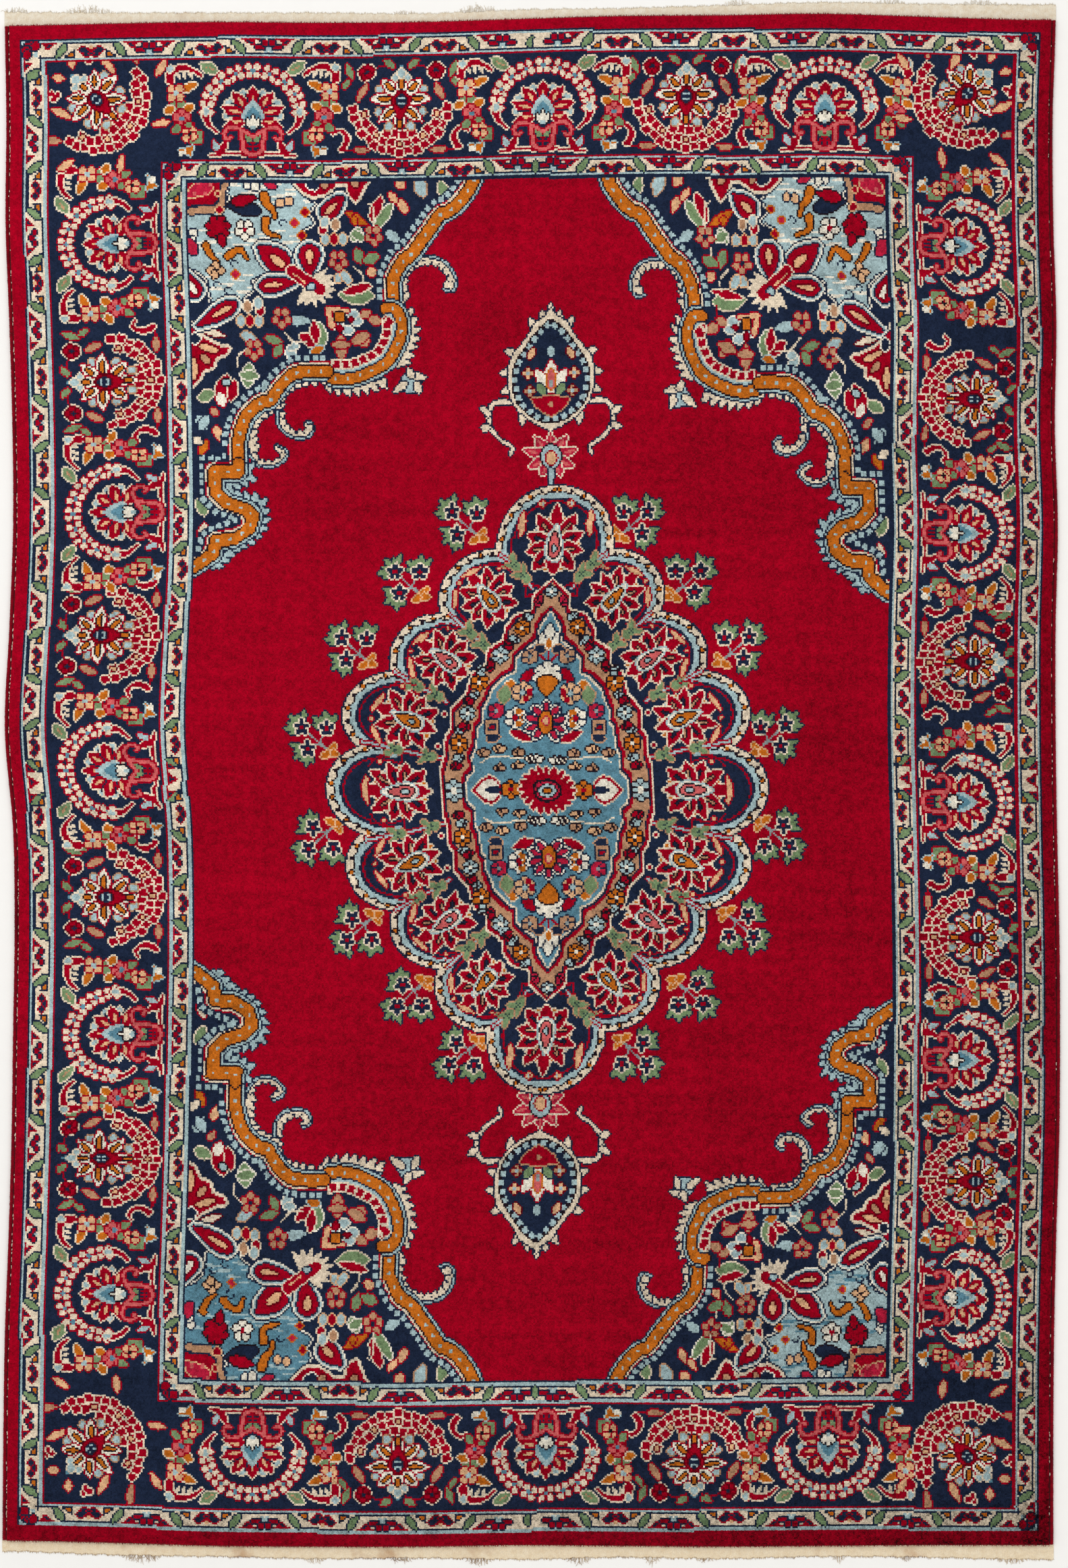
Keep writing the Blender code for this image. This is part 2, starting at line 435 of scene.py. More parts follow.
    def rows(self, pattern: Sequence[str], u: float = 0.0, v: float = 0.0) -> None:
        """Knots a small repeat from its written rows, centred on a point; a dot leaves the ground.

        Args:
            pattern: The rows, top first, with one letter for each knot.
            u: Middle of the repeat, across.
            v: Middle of the repeat, upwards.
        """
        table = np.array([[LETTERS.get(letter, -1) for letter in row] for row in pattern])
        height, width = table.shape
        column = np.floor(self.u - u + width / 2).astype(int)
        row = np.floor(height / 2 - (self.v - v)).astype(int)
        hit = (column >= 0) & (column < width) & (row >= 0) & (row < height)
        wool = np.where(hit, table[np.clip(row, 0, height - 1), np.clip(column, 0, width - 1)], -1)
        self.knots[wool >= 0] = wool[wool >= 0]

    def blossom(self, u: float, v: float, petals: int, spread: float, petal: float, wools: str,
            heart_size: float = 1.0, turn: float = 90.0) -> None:
        """Knots a small round-petalled flower.

        Args:
            u: Middle of the flower, across.
            v: Middle of the flower, upwards.
            petals: How many petals it has.
            spread: How far out the petals' middles lie.
            petal: Half the width of one petal.
            wools: The letters of the petals, their outline and the heart.
            heart_size: Half the heart's width.
            turn: Direction of the first petal, in degrees.
        """
        for k in range(petals):
            self.fill(self.oval(*ray(spread, turn + 360 * k / petals, u, v), petal), wools[:2])
        self.fill(self.oval(u, v, heart_size), wools[2:])

    def leaf(self, start: Point, tip: Point, width: float, wools: str, vein: str = "") -> None:
        """Knots an outlined leaf, with a vein where its letter is given.

        Args:
            start: Where it grows from.
            tip: Where it ends.
            width: Its greatest width.
            wools: The letters of the leaf and its outline.
            vein: The vein's letter, if it has one.
        """
        self.fill(self.lens(start, tip, width), wools)
        if vein:
            self.fill(self.band([part_way(start, tip, 0.25), part_way(start, tip, 0.7)], 0.9), vein)


@dataclass(frozen=True)
class Frame:
    """One rectangular frame of the layout: its wool and how far each side lies in, in knots."""

    wool: str
    left: float
    top: float
    right: float
    bottom: float


@dataclass(frozen=True)
class Side:
    """One side of the rug as a strip: where it starts, which way it runs and how it is stretched."""

    x: float
    y: float
    turn: float
    length: float
    flip: bool = False
    wide: float = 1.0
    tall: float = 1.0

    def place(self, chart: Chart, along: float, reach: float) -> Figure:
        """Opens a window at a distance along the side, with v pointing out of the rug.

        Args:
            chart: The chart to draw on.
            along: The distance along the side.
            reach: Half the window's side.

        Returns:
            The window.
        """
        angle = math.radians(self.turn)
        run = -along if self.flip else along
        x, y = self.x + run * math.cos(angle), self.y - run * math.sin(angle)
        return chart.figure(x, y, reach, turn=self.turn, flip=self.flip, wide=self.wide, tall=self.tall)


@dataclass(frozen=True)
class Layout:
    """The rug's plan in knots: the size of the chart and the frames round the field."""

    columns: int = 584
    rows: int = 852
    frames: tuple[Frame, ...] = (Frame("n", 5.5, 6.8, 6.0, 7.5), Frame("s", 6.6, 7.8, 7.0, 8.5),
        Frame("c", 8.4, 9.2, 8.5, 10.0), Frame("s", 18.4, 18.0, 18.4, 18.6),
        Frame("r", 19.6, 18.8, 19.4, 20.0), Frame("n", 21.0, 20.0, 20.6, 21.3),
        Frame("r", 83.6, 76.6, 76.0, 78.6), Frame("s", 85.0, 77.6, 77.4, 80.0),
        Frame("c", 86.6, 79.0, 78.8, 81.5), Frame("s", 96.0, 87.0, 88.6, 90.5),
        Frame("n", 97.6, 88.4, 90.5, 92.0), Frame("r", 98.8, 89.6, 92.0, 93.2))

    def draw(self, chart: Chart) -> None:
        """Lays the frames, the widest first, each inside the last."""
        for frame in self.frames:
            chart.panel(frame.left, frame.top, frame.right, frame.bottom, frame.wool)


NAVY_TREFOIL = ("..rrr..aa..rrr..", ".rnnnrraarrnnnr.", "rnnnnnrrrrnnnnnr", ".rnnnnnrrnnnnnr.",
    "..rrnnrnnrnnrr..", "...rnnnrrnnnr...", "....rrr..rrr....")
CRIMSON_TREFOIL = (".....nnn.nnn.....", "....nrrrnrrrn....", "....nrrrnrrrn....", ".nnnnrrrnrrrnnnn.",
    "nrrrrnnnnnnnrrrrn", "nrrrrrnsssnrrrrrn", ".nnnnnnsssnnnnnn.", "......ssiss......")
NAVY_NARROW = ("..rr.aa.rr..", ".rnnraarnnr.", "rnnnnrrnnnnr", ".rnnrnnrnnr.", "..rrnnnnrr..", "....rrrr....")
CRIMSON_NARROW = ("....nnn....", "...nrrrn...", ".nnnrrrnnn.", "nrrrnrnrrrn", "nrrrnsnrrrn", ".nnn.s.nnn.",
    ".....i.....")
OCHRE_TRIANGLE = ("n.....", "nnn...", "noon..", "nooonn", "nnnnnn")
CRIMSON_TRIANGLE = ("rrrrrrrrrrrr", "..rnnrrr....", "...rnnr.....", "....rrr.....")
NARROW_TRIANGLE = ("rrrrrrrr", ".rnnr...", "..rnr...", "...rr...", "....r...")


@dataclass(frozen=True)
class GuardStripe:
    """A narrow cream stripe whose navy line steps between trefoils, with a leaf on each step."""

    sides: tuple[Side, ...]
    cells: tuple[int, ...]  # trefoils in each half of the side
    middle: tuple[float, ...]  # from the last trefoil to the side's middle
    high: float = 4.0  # the stepping line's outer course, above the stripe's middle
    low: float = -4.3
    narrow: tuple[bool, ...] = (False, True, False, True)

    def draw(self, chart: Chart) -> None:
        """Knots the four sides, then the flowers in the corners.

        Args:
            chart: The chart to draw on.
        """
        for side, cells, middle, narrow in zip(self.sides, self.cells, self.middle, self.narrow):
            half = side.length / 2
            pitch = (half - middle) / cells
            places = [pitch * k for k in range(cells + 1)] + [half]
            places += [side.length - place for place in reversed(places[:-1])]
            kinds = ["C"] + ["N" if k % 2 else "C" for k in range(1, cells + 1)]
            kinds = kinds + ["T" if kinds[-1] == "N" else "M"] + kinds[::-1]
            self.stretch(chart, side, places, kinds, narrow)
        for side in self.sides:
            self.corner(side.place(chart, 0, 9))

    def stretch(self, chart: Chart, side: Side, places: list[float], kinds: list[str], narrow: bool) -> None:
        """Knots one side's stepping line, leaves, trefoils and triangles.

        Args:
            chart: The chart to draw on.
            side: The side of the rug.
            places: Where the cells lie along it.
            kinds: What each cell holds: N and C are the two trefoils, T a triangle, M a middle leaf.
            narrow: Whether the trefoils are the narrower ones of the rug's long sides.
        """
        cells = list(zip(places, kinds))
        for (here, kind), (there, following) in zip(cells, cells[1:]):
            middle = (here + there) / 2
            reach = (there - here) / 2 + 4
            spot = side.place(chart, middle, reach)
            half = (there - here) / 2 / side.wide
            level = self.high if kind == "N" else self.low
            after = self.high if following == "N" else self.low
            slope = 3.0
            line = [(-half, level), (-slope, level), (slope, after), (half, after)]
            spot.fill(spot.band(line, 1.1, smooth=False), "n")
            if level != after:
                rise = 1 if after > level else -1
                spot.fill(spot.lens((-2.8, -3.8 * rise), (2.8, 3.8 * rise), 3.2), "gn")
                self.triangles(spot, 1 if after == self.high else -1, half, narrow)
        for place, kind in cells[1:-1]:
            spot = side.place(chart, place, 11)
            if kind == "N":
                spot.rows(NAVY_NARROW if narrow else NAVY_TREFOIL, 0, -1.2)
            elif kind == "C":
                spot.rows(CRIMSON_NARROW if narrow else CRIMSON_TREFOIL, 0, 0.9)
            elif kind == "T":
                spot.fill(spot.area([(-4.5, 4.5), (4.5, 4.5), (0, -2)]), "r")
                spot.fill(spot.area([(-2, 3.4), (2, 3.4), (0, 0.4)]), "n")
            else:
                spot.fill(spot.oval(0, -0.5, 1.6, 3.2), "gn")

    def triangles(self, spot: Figure, outer: int, half: float, narrow: bool) -> None:
        """Knots the two small triangles that flank a step.

        Args:
            spot: The window, centred on the step.
            outer: 1 where the line rises to its outer course on the right, else -1.
            half: Half the distance between the two trefoils.
            narrow: Whether the stripe runs along one of the rug's long sides.
        """
        if half < 9:
            return
        ochre = OCHRE_TRIANGLE if outer < 0 else [row[::-1] for row in OCHRE_TRIANGLE]
        spot.rows(ochre, outer * min(half - 9.6, 5.0), self.low + 2.4)
        crimson = NARROW_TRIANGLE if narrow else CRIMSON_TRIANGLE
        crimson = crimson if outer < 0 else [row[::-1] for row in crimson]
        spot.rows(crimson, -outer * min(half - 7, 8.0), self.high - 1.6)

    def corner(self, spot: Figure) -> None:
        """Knots the crimson flower that fills a corner of the stripe.

        Args:
            spot: The motif's window.
        """
        spot.fill(spot.oval(0, 0, 5.0), "c")
        for lean in (100, 135, 170, 60, 210):
            spot.fill(spot.oval(*ray(3.4, lean), 2.3), "rn")
        spot.fill(spot.oval(1.8, -1.8, 1.4), "s")


@dataclass(frozen=True)
class Palmette:
    """The main border's palmette under its arch of small flowers, with a spray at either hand."""

    arch_across: float = 26.0
    arch_up: float = 22.5
    arch_foot: float = 27.0
    flowers: int = 9

    def draw(self, spot: Figure) -> None:
        """Knots the motif with its foot on the inner line and its arch towards the rug's edge.

        Args:
            spot: The motif's window.
        """
        self.base(spot.mirrored())
        self.arch(spot)
        self.crown(spot)
        self.foot(spot)
        twin = copy.copy(spot)
        twin.u = -spot.u
        for spray in (spot, twin):
            self.spray(spray)

    def base(self, pair: Figure) -> None:
        """Knots the winged line under the flower.

        Args:
            pair: The motif's window, folded down its middle.
        """
        wing = pair.band([(4, 2.6), (12, 3.4), (24, 2.2)], 1.4) | pair.petal((19, 3), (14.4, 10.4), 4.0, 0.3)
        pair.fill(wing, "rc")
        pair.fill(pair.petal((19.6, 5), (22.6, 11), 3), "sr")

    def foot(self, spot: Figure) -> None:
        """Knots the pink tulip foot with its two volutes.

        Args:
            spot: The motif's window.
        """
        pair = spot.mirrored()
        arm = pair.band([(0, 12.4), (4.5, 15.4), (9.5, 17.8), (14, 17.6), (16.2, 14.4), (14.8, 11.2),
            (12.6, 12)], 1.7)
        cup = pair.band([(6.4, 15.6), (5.8, 9), (4.4, 4.4), (0, 2.6)], 2.0)
        pair.fill(arm | cup, "pr")
        pair.fill(pair.area([(0, 4.4), (2.8, 4.8), (3.2, 9.2), (0, 9.4)]), "r")
        pair.fill(pair.oval(1.4, 5.8, 0.8) | pair.oval(1.4, 8.2, 0.8), "n")
        pair.fill(pair.petal((0.8, 9.8), (4.2, 13.2), 2.2), "g")

    def crown(self, spot: Figure) -> None:
        """Knots the flower: crimson petals round a blue dome and an ivory heart.

        Args:
            spot: The motif's window.
        """
        pair = spot.mirrored()
        pair.ovals("sc", (15.0, 24.4, 1.8), (13.4, 31.6, 1.8), (5.6, 37.0, 1.8))
        ring = pair.petal((5, 21), (16.4, 18.6), 5.2) | pair.petal((5, 24), (17.0, 29.4), 6.6)
        ring |= pair.petal((3, 27), (11.0, 37.2), 7.2) | pair.petal((0, 28), (0, 40.6), 7.6)
        pair.fill(ring, "rc")
        pair.petals("ar", ((5.4, 30), (8.4, 34.6), 1.6), ((7, 26), (13, 27.2), 1.6),
            ((7, 21.6), (12.4, 20.8), 1.6))
        for line in (((2, 30), (4, 36)), ((6, 28.6), (12.4, 32)), ((6, 23.8), (14, 24))):
            pair.fill(pair.band(line, 0.9), "n")
        spot.fill(spot.petal((0, 30), (0, 36), 1.3), "a")
        spot.fill(spot.petal((0, 20), (0, 34), 12.6, 0.3), "s")
        spot.fill(spot.petal((0, 19), (0, 30), 9.6, 0.3), "b")
        spot.fill(spot.area([(-4, 20.2), (-3, 23), (-1.4, 21.4), (0, 24.6), (1.4, 21.4), (3, 23), (4, 20.2),
            (2.4, 17.4), (-2.4, 17.4)]), "ik")
        spot.fill(spot.oval(0, 17.6, 1.5, 1.3), "s")

    def arch(self, spot: Figure) -> None:
        """Knots the double row of small cream flowers, and the leaves at its ends and shoulders.

        Args:
            spot: The motif's window.
        """
        hearts = []
        for k in range(self.flowers):
            lean = 4 + 172 * k / (self.flowers - 1)
            u = self.arch_across * math.cos(math.radians(lean))
            v = self.arch_foot + self.arch_up * math.sin(math.radians(lean))
            hearts.append((u, v, 1.3))
            for lobe in (45, 135, 225, 315):
                spot.fill(spot.oval(*ray(3.3, lean + lobe, u, v), 1.8), "cr")
        spot.ovals("b", *hearts)
        pair = spot.mirrored()
        pair.fill(pair.band([(27, 26), (25.5, 20.5), (20.5, 15.5)], 4.0, 1.2), "rc")
        pair.fill(pair.petal((26.4, 28.6), (26.4, 24.4), 2.6), "sc")
        pair.leaf((20.0, 48.6), (29.0, 54.2), 5.0, "gc", "t")

    def spray(self, spot: Figure) -> None:
        """Knots the spray beside the arch: a feather leaf, three flowers and an ochre end.

        Args:
            spot: The motif's window.
        """
        spot.fill(spot.band([(46.5, 45.6), (45.6, 50), (39.5, 52.4), (33, 50.6), (28.4, 46.8)], 4.4, 1.2),
            "rc")
        spot.petals("c", *(((u + 1.6, 49.6), (u, 45.8), 1.8) for u in (34, 37.5, 41)))
        spot.fill(spot.oval(46.4, 51.6, 1.8), "sc")
        spot.leaf((42, 39), (31.5, 43.2), 3.4, "oc")
        spot.leaf((40, 34), (47.6, 29), 4.2, "gr")
        spot.leaf((42, 34), (37, 27.4), 4.4, "gr")
        spot.blossom(43.4, 38.2, 4, 3.2, 2.2, "ars", 1.5, turn=45)
        spot.leaf((44, 30), (49.6, 27.4), 3.6, "oc")
        spot.leaf((38, 28.4), (34, 31.6), 3.8, "oc")
        spot.blossom(40, 23.8, 5, 3.0, 2.0, "prb", 1.3)
        spot.leaf((41, 20), (45, 16.2), 3.8, "gr")
        spot.leaf((38, 21), (33.4, 18.6), 3.8, "gr")
        spot.fill(spot.area([(28.6, 15.6), (31.4, 15.6), (31.4, 11), (36, 11), (36, 8.4), (28.6, 8.4)]), "gr")
        spot.blossom(35.6, 14.6, 4, 2.6, 1.9, "ark", 1.2, turn=45)
        spot.fill(spot.area([(33, 7.6), (38, 6.2), (42.6, 7), (38, 4), (35, 1.6), (34, 4.6)]), "os")
        spot.fill(spot.oval(39.6, 4.2, 2.2, 1.8), "i")


@dataclass(frozen=True)
class Rosette:
    """The main border's eight-petalled rosette, cupped by an arc of small crimson squares."""

    middle: float = 31.0
    arc_rows: tuple[float, ...] = (0.0, 4.8, 9.4)

    def draw(self, spot: Figure) -> None:
        """Knots the motif with its middle above the border's inner line.

        Args:
            spot: The motif's window.
        """
        flower = spot.moved(0, self.middle)
        self.cup(flower, 188, 352)
        self.petals(flower)
        self.crown(flower.mirrored())
        self.attendants(flower.mirrored())

    def draw_corner(self, spot: Figure) -> None:
        """Knots the turned rosette of a corner, with leaves in place of the side flowers.

        Args:
            spot: The motif's window.
        """
        self.cup(spot, 192, 348)
        self.petals(spot)
        pair = spot.mirrored()
        self.crown(pair)
        pair.leaf((17, 4), (21, 15), 3.6, "ar")
        pair.leaf((4, 22), (8, 27), 3.6, "ar")
        pair.blossom(15, 19, 3, 1.8, 1.5, "rcr", 1)
        pair.leaf((30, -2), (38, 8), 3.4, "tr")
        pair.leaf((33, -14), (43, -12), 3.4, "ar")
        pair.leaf((12, -32), (20, -38), 3.2, "ar")

    def petals(self, flower: Figure) -> None:
        """Knots the petals, their ochre hearts, the blue sepals between them and the centre.

        Args:
            flower: The window, centred on the flower.
        """
        pair = flower.mirrored()
        pair.ovals("st", (12.4, 7.0, 2.0), (12.6, -5.4, 2.0), (6.2, -13.4, 2.0))
        pair.petals("ir", ((4, 2), (17.6, 2), 6.2, 0.4), ((3, 5), (11.0, 12.8), 6.0, 0.4),
            ((3, -3), (12.4, -10.6), 6.0, 0.4))
        flower.petals("ir", ((0, 5), (0, 14.6), 5.6), ((0, -4), (0, -17.0), 5.4))
        pair.petals("ok", ((6.0, 2), (13.8, 2), 1.7), ((4.4, 6.6), (9.0, 11.0), 1.7),
            ((4.6, -4.2), (9.8, -9.0), 1.7))
        flower.petals("ok", ((0, 8), (0, 13), 1.6), ((0, -8), (0, -15), 1.4))
        flower.fill(flower.petal((0, 5.6), (0, -9.4), 9.4, 0.36), "rw")
        flower.fill(flower.oval(0, 0.8, 3.0, 3.8), "nw")
        pair.ovals("s", (1.2, 2.4, 0.8), (1.2, -0.8, 0.8))

    def crown(self, pair: Figure) -> None:
        """Knots the blue crown above the flower."""
        pair.fill(pair.petal((0, 14), (0, 21.0), 4.0), "b")
        pair.fill(pair.oval(0, 16.4, 2.2, 2.2) | pair.oval(3.6, 13.8, 1.6), "sc")

    def attendants(self, pair: Figure) -> None:
        """Knots the small flowers on their tendrils, the outer leaves and the curls by the inner line.

        Args:
            pair: The motif's window, folded down its middle.
        """
        pair.fill(pair.band([(4, 18.4), (9, 20.6), (14, 19.4), (18, 18)], 1.0), "r")
        pair.leaf((3.6, 19.6), (9.4, 23.2), 3.2, "gr")
        pair.fill(pair.oval(19.4, 17.6, 4.6), "rc")
        pair.blossom(19.4, 17.6, 5, 3.0, 1.3, "rwn", 1.2)
        pair.leaf((27, 13.6), (31, 22.4), 3.2, "gr")
        pair.leaf((29, 14), (33, 8.6), 2.6, "gr")
        pair.leaf((24.6, 1.6), (19.4, 10.6), 3.4, "tr")
        pair.leaf((17.5, -26.6), (27, -26.6), 2.6, "tr")
        pair.fill(pair.band([(26.6, -26.6), (33, -26.4)], 1.0), "r")
        pair.fill(pair.band([(33, -25), (30.8, -21.4), (31.2, -17), (35, -14.6), (38.6, -16.4)], 3.4, 1.0),
            "rc")

    def cup(self, flower: Figure, start: float, end: float) -> None:
        """Knots the arc of crimson squares, each edged in cream, in rows that break step.

        Args:
            flower: The window, centred on the rosette.
            start: Direction in which the arc starts, in degrees.
            end: Direction in which it ends.
        """
        hearts = []
        for row, inset in enumerate(self.arc_rows):
            across, up = 27.6 - inset, 28.6 - inset
            steps = round(math.radians(end - start) * (across + up) / 2 / 4.9)
            for k in range(steps + 1):
                angle = math.radians(start + (end - start) * k / steps)
                if row == 1 and not 0 < k < steps or row == 2 and abs(k - steps / 2) > 2.2:
                    continue
                stray = 1 + 0.03 * math.sin(2.6 * k + 1.9 * row)
                u, v = stray * across * math.cos(angle), 1.0 + stray * up * math.sin(angle)
                tile = flower.moved(u, v, math.degrees(angle) + 90)
                flower.fill(tile.square(2.15), "rc")
                if row == 1 and k % 3 == 1:
                    hearts.append((u, v, 1.3))
        flower.ovals("aw", *hearts)


@dataclass(frozen=True)
class MainBorder:
    """The navy border: palmettes and rosettes by turns, and a turned rosette in each corner."""

    sides: tuple[Side, ...]
    palmettes: tuple[tuple[float, ...], ...]
    rosettes: tuple[tuple[float, ...], ...]
    corners: tuple[tuple[float, float, float], ...]

    def draw(self, chart: Chart, outer: Frame, inner: Frame) -> None:
        """Knots the rosettes, the palmettes with their sprays, then the corners.

        Args:
            chart: The chart to draw on.
            outer: The frame that holds the border.
            inner: The frame inside it; nothing is knotted outside the one or inside the other.
        """
        before = chart.knots.copy()
        for side, places in zip(self.sides, self.rosettes):
            for place in places:
                Rosette().draw(side.place(chart, place, 64))
        for side, places in zip(self.sides, self.palmettes):
            for place in places:
                Palmette().draw(side.place(chart, place, 64))
        for x, y, turn in self.corners:
            Rosette().draw_corner(chart.figure(x, y, 50, turn=turn))
        kept = chart.within(outer) & ~chart.within(inner)
        chart.knots[~kept] = before[~kept]


def beside(points: Sequence[Point], gap: float) -> list[Point]:
    """Shifts a line sideways.

    Args:
        points: The line's points.
        gap: How far to shift it, to the left of its run where this is above zero.

    Returns:
        The shifted line's points.
    """
    line = np.array(smooth_line(points, 4))
    run = np.gradient(line, axis=0)
    run /= np.hypot(run[:, 0], run[:, 1])[:, None] + 1e-9
    return [tuple(point) for point in line + gap * np.stack([-run[:, 1], run[:, 0]], axis=1)]


def paces(points: Sequence[Point], pitch: float) -> list[tuple[float, float, float]]:
    """Marks equal paces along a line.

    Args:
        points: The line's points.
        pitch: Distance between the marks.

    Returns:
        Each mark's place and the direction of the line there, in degrees.
    """
    line = np.array(points)
    length = np.concatenate([[0], np.cumsum(np.hypot(*np.diff(line, axis=0).T))])
    count = max(int(length[-1] / pitch), 1)
    marks = []
    for k in range(count):
        at = (k + 0.5) * length[-1] / count
        u, v = np.interp(at, length, line[:, 0]), np.interp(at, length, line[:, 1])
        i = min(int(np.searchsorted(length, at)), len(line) - 1)
        du, dv = line[i] - line[i - 1]
        marks.append((float(u), float(v), math.degrees(math.atan2(dv, du))))
    return marks


@dataclass(frozen=True)
class Spandrel:
    """A corner of the field: flowers on navy behind a stepped ochre band with leafy scrolls."""

    ground: str = "s"  # the cartouche's wool
    paler: str = "i"  # the second dye lot that shows in it as abrash
    edge: tuple[tuple[Point, ...], ...] = (((163, -3), (160, 4), (154, 12), (148, 17), (143, 19), (137, 27),
        (130, 36), (126, 41), (120, 45), (115, 53), (114, 60), (114, 67)), ((110, 71), (115, 72), (118, 79),
        (117, 87), (114, 94), (109, 101), (100, 106), (92, 109), (84, 110), (77, 109)),
        ((76, 106), (66, 106), (58, 107), (52, 111), (47, 117), (44, 121), (38, 123), (31, 129), (27, 137),
        (25, 146), (25, 152), (25, 157)), ((25, 157), (25, 161.5), (11, 161.5), (12, 173), (18, 179),
        (28, 182), (33, 187), (31, 194), (23, 199), (12, 200), (11, 207), (3, 213), (-4, 217)))

    def draw(self, spot: Figure) -> None:
        """Knots the corner; u runs along the inner line and v runs away from it.

        Args:
            spot: The motif's window.
        """
        ring = [(0, -4)] + [point for part in self.edge for point in part] + [(-4, 215), (-4, -4)]
        spot.fill(spot.area(ring), "n")
        self.cartouche(spot)
        self.clouds(spot)
        self.paisleys(spot)
        self.flowers(spot)
        self.fringe(spot)
        for number, part in enumerate(self.edge):
            self.band(spot, part, number)

    def band(self, spot: Figure, line: Sequence[Point], number: int) -> None:
        """Knots one stretch of the ochre band, with its edges and its row of squares.

        Args:
            spot: The corner's window.
            line: The stretch's middle line.
            number: Which stretch it is; the second has scallops in place of squares.
        """
        angular = number == 3
        if angular:
            line = [(a + (c - a) * part, b + (d - b) * part) for (a, b), (c, d) in zip(line, line[1:])
                for part in (0.0, 0.1, 0.5, 0.9)]
        inner = beside(line, 7.8)
        if angular:
            inner = [(17, 150), (17, 154), (4, 154), (4, 176), (12, 184), (24, 188), (10, 193), (4, 197),
                (2, 207)]
        spot.fill(spot.band(beside(line, -4.6), 1.0, smooth=False), "sn")
        spot.fill(spot.band(beside(line, 4.0), 2.0, smooth=False), "cr")
        spot.fill(spot.band(line, 6.4, smooth=not angular), "ok")
        for u, v, _ in paces(smooth_line(line, 4), 6.8):
            spot.fill(spot.oval(u, v, 0.9), "s")
        if number == 1:
            spot.fill(spot.band(beside(line, 4.2), 1.6, smooth=False), "sn")
            spot.fill(spot.band(beside(line, 7.6), 4.0, smooth=False), "rc")
            for u, v, lean in paces(inner, 5.0):
                spot.fill(spot.moved(u, v, lean).oval(2.2, 0, 0.8, 2.4), "c")
            return
        spot.fill(spot.band(inner, 4.6, smooth=False), "n")
        for place in paces(inner, 4.6):
            spot.fill(spot.moved(*place).square(1.5), "s")

    def acanthus(self, spot: Figure, line: Sequence[Point], width: float, tooth: float, wool: str) -> None:
        """Knots a scroll with teeth on its left and a blue line along its right.

        Args:
            spot: The corner's window.
            line: The scroll's middle line.
            width: Its width.
            tooth: Length of its teeth.
            wool: Its wool.
        """
        body = spot.band(line, width, width * 0.6)
        for u, v, lean in paces(smooth_line(line, 4), 4.4):
            body |= spot.petal((u, v), ray(tooth, lean + 62, u, v), 3.0, 0.3)
        line_wool = "s" if wool != "s" else "b"
        spot.fill(spot.band(beside(line, -1.8), 0.9, smooth=False), line_wool + "n")
        spot.fill(body, wool + "n")

    def fringe(self, spot: Figure) -> None:
        """Knots the cream scrolls and blue leaves that reach into the field.

        Args:
            spot: The motif's window.
        """
        self.acanthus(spot, [(121, 67), (119, 59), (121, 50), (127, 45), (136, 44), (144, 47), (148, 54),
            (147, 60), (143, 59)], 1.2, 3.6, "c")
        self.acanthus(spot, [(70, 111), (58, 113), (50, 119), (49, 128), (50, 136), (56, 141), (64, 141),
            (66, 137), (63, 136)][::-1], 1.2, 3.0, "c")
        self.acanthus(spot, [(48, 123), (40, 127), (33, 134), (32, 144), (34, 152)][::-1], 2.6, 4.6, "c")
        self.acanthus(spot, [(33, 151), (38, 157), (46, 157), (51, 152), (46, 149)][::-1], 1.4, 1.6, "c")
        self.acanthus(spot, [(112, 70), (120, 73), (124, 83), (121, 94), (116, 103)][::-1], 2.6, 5.4, "c")
        self.acanthus(spot, [(108, 111), (98, 114), (86, 115), (74, 112)][::-1], 2.6, 5.4, "c")
        self.acanthus(spot, [(30, 158), (31, 164), (22, 168), (17, 170), (20, 175), (30, 177), (37, 180),
            (38, 190), (32, 199), (22, 204), (17, 209), (11, 215)][::-1], 1.8, 4.8, "s")
        spot.fill(spot.area([(114, 117), (120, 107), (129, 111), (127, 118)]), "sn")
        spot.petals("cn", ((122, 108), (132, 110), 3.6), ((124, 110), (121, 104), 3.6),
            ((126, 112), (128, 119), 3.6), ((121, 112), (113, 118), 3.6))

    def cartouche(self, spot: Figure) -> None:
        """Knots the cloud-edged cartouche of the corner and the small leaves and flowers on it.

        Args:
            spot: The motif's window.
        """
        cloud = spot.area([(22, -3), (57, -3), (61, 4), (67, 7), (70, 12), (66, 17), (71, 22), (63, 26),
            (64, 31), (61, 35), (62, 43), (58, 48), (46, 49), (38, 52), (34, 54), (35, 60), (30, 63),
            (27, 70), (20, 66), (13, 67), (11, 55), (6, 49), (-3, 47), (-3, 17), (6, 15), (20, 18), (25, 9)])
        wave = np.sin(spot.u * 0.9) * np.cos(spot.v * 1.1) > 0.55
        cloud |= grown(cloud, 1) & wave
        spot.fill(cloud, self.ground + "nin")
        streaks = np.sin(spot.v * 1.9 + 2.2 * np.sin(spot.u * 0.13)) + np.sin(spot.u * 0.29 + spot.v * 0.7)
        paler = streaks + np.sin(spot.v * 0.23 + 0.6) > 1.5
        spot.fill(cloud & paler, self.paler)
        spot.fill(spot.area([(-2, -2), (18, -2), (19, 8), (14, 13), (4, 12), (-2, 14)]), "rn")
        spot.fill(spot.lens((0, 8), (14, -3), 7) | spot.oval(8, 3, 6, 3.6), "xa")
        spot.ovals("p", *((u, v, 1.3) for u, v in ((4, 6), (10, 6), (13, 1), (6, 0))))
        spot.fill(spot.band([(2, 16), (8, 15), (14, 15), (19, 12), (20, 4), (23, -2)], 3.6, 3.0), "tn")
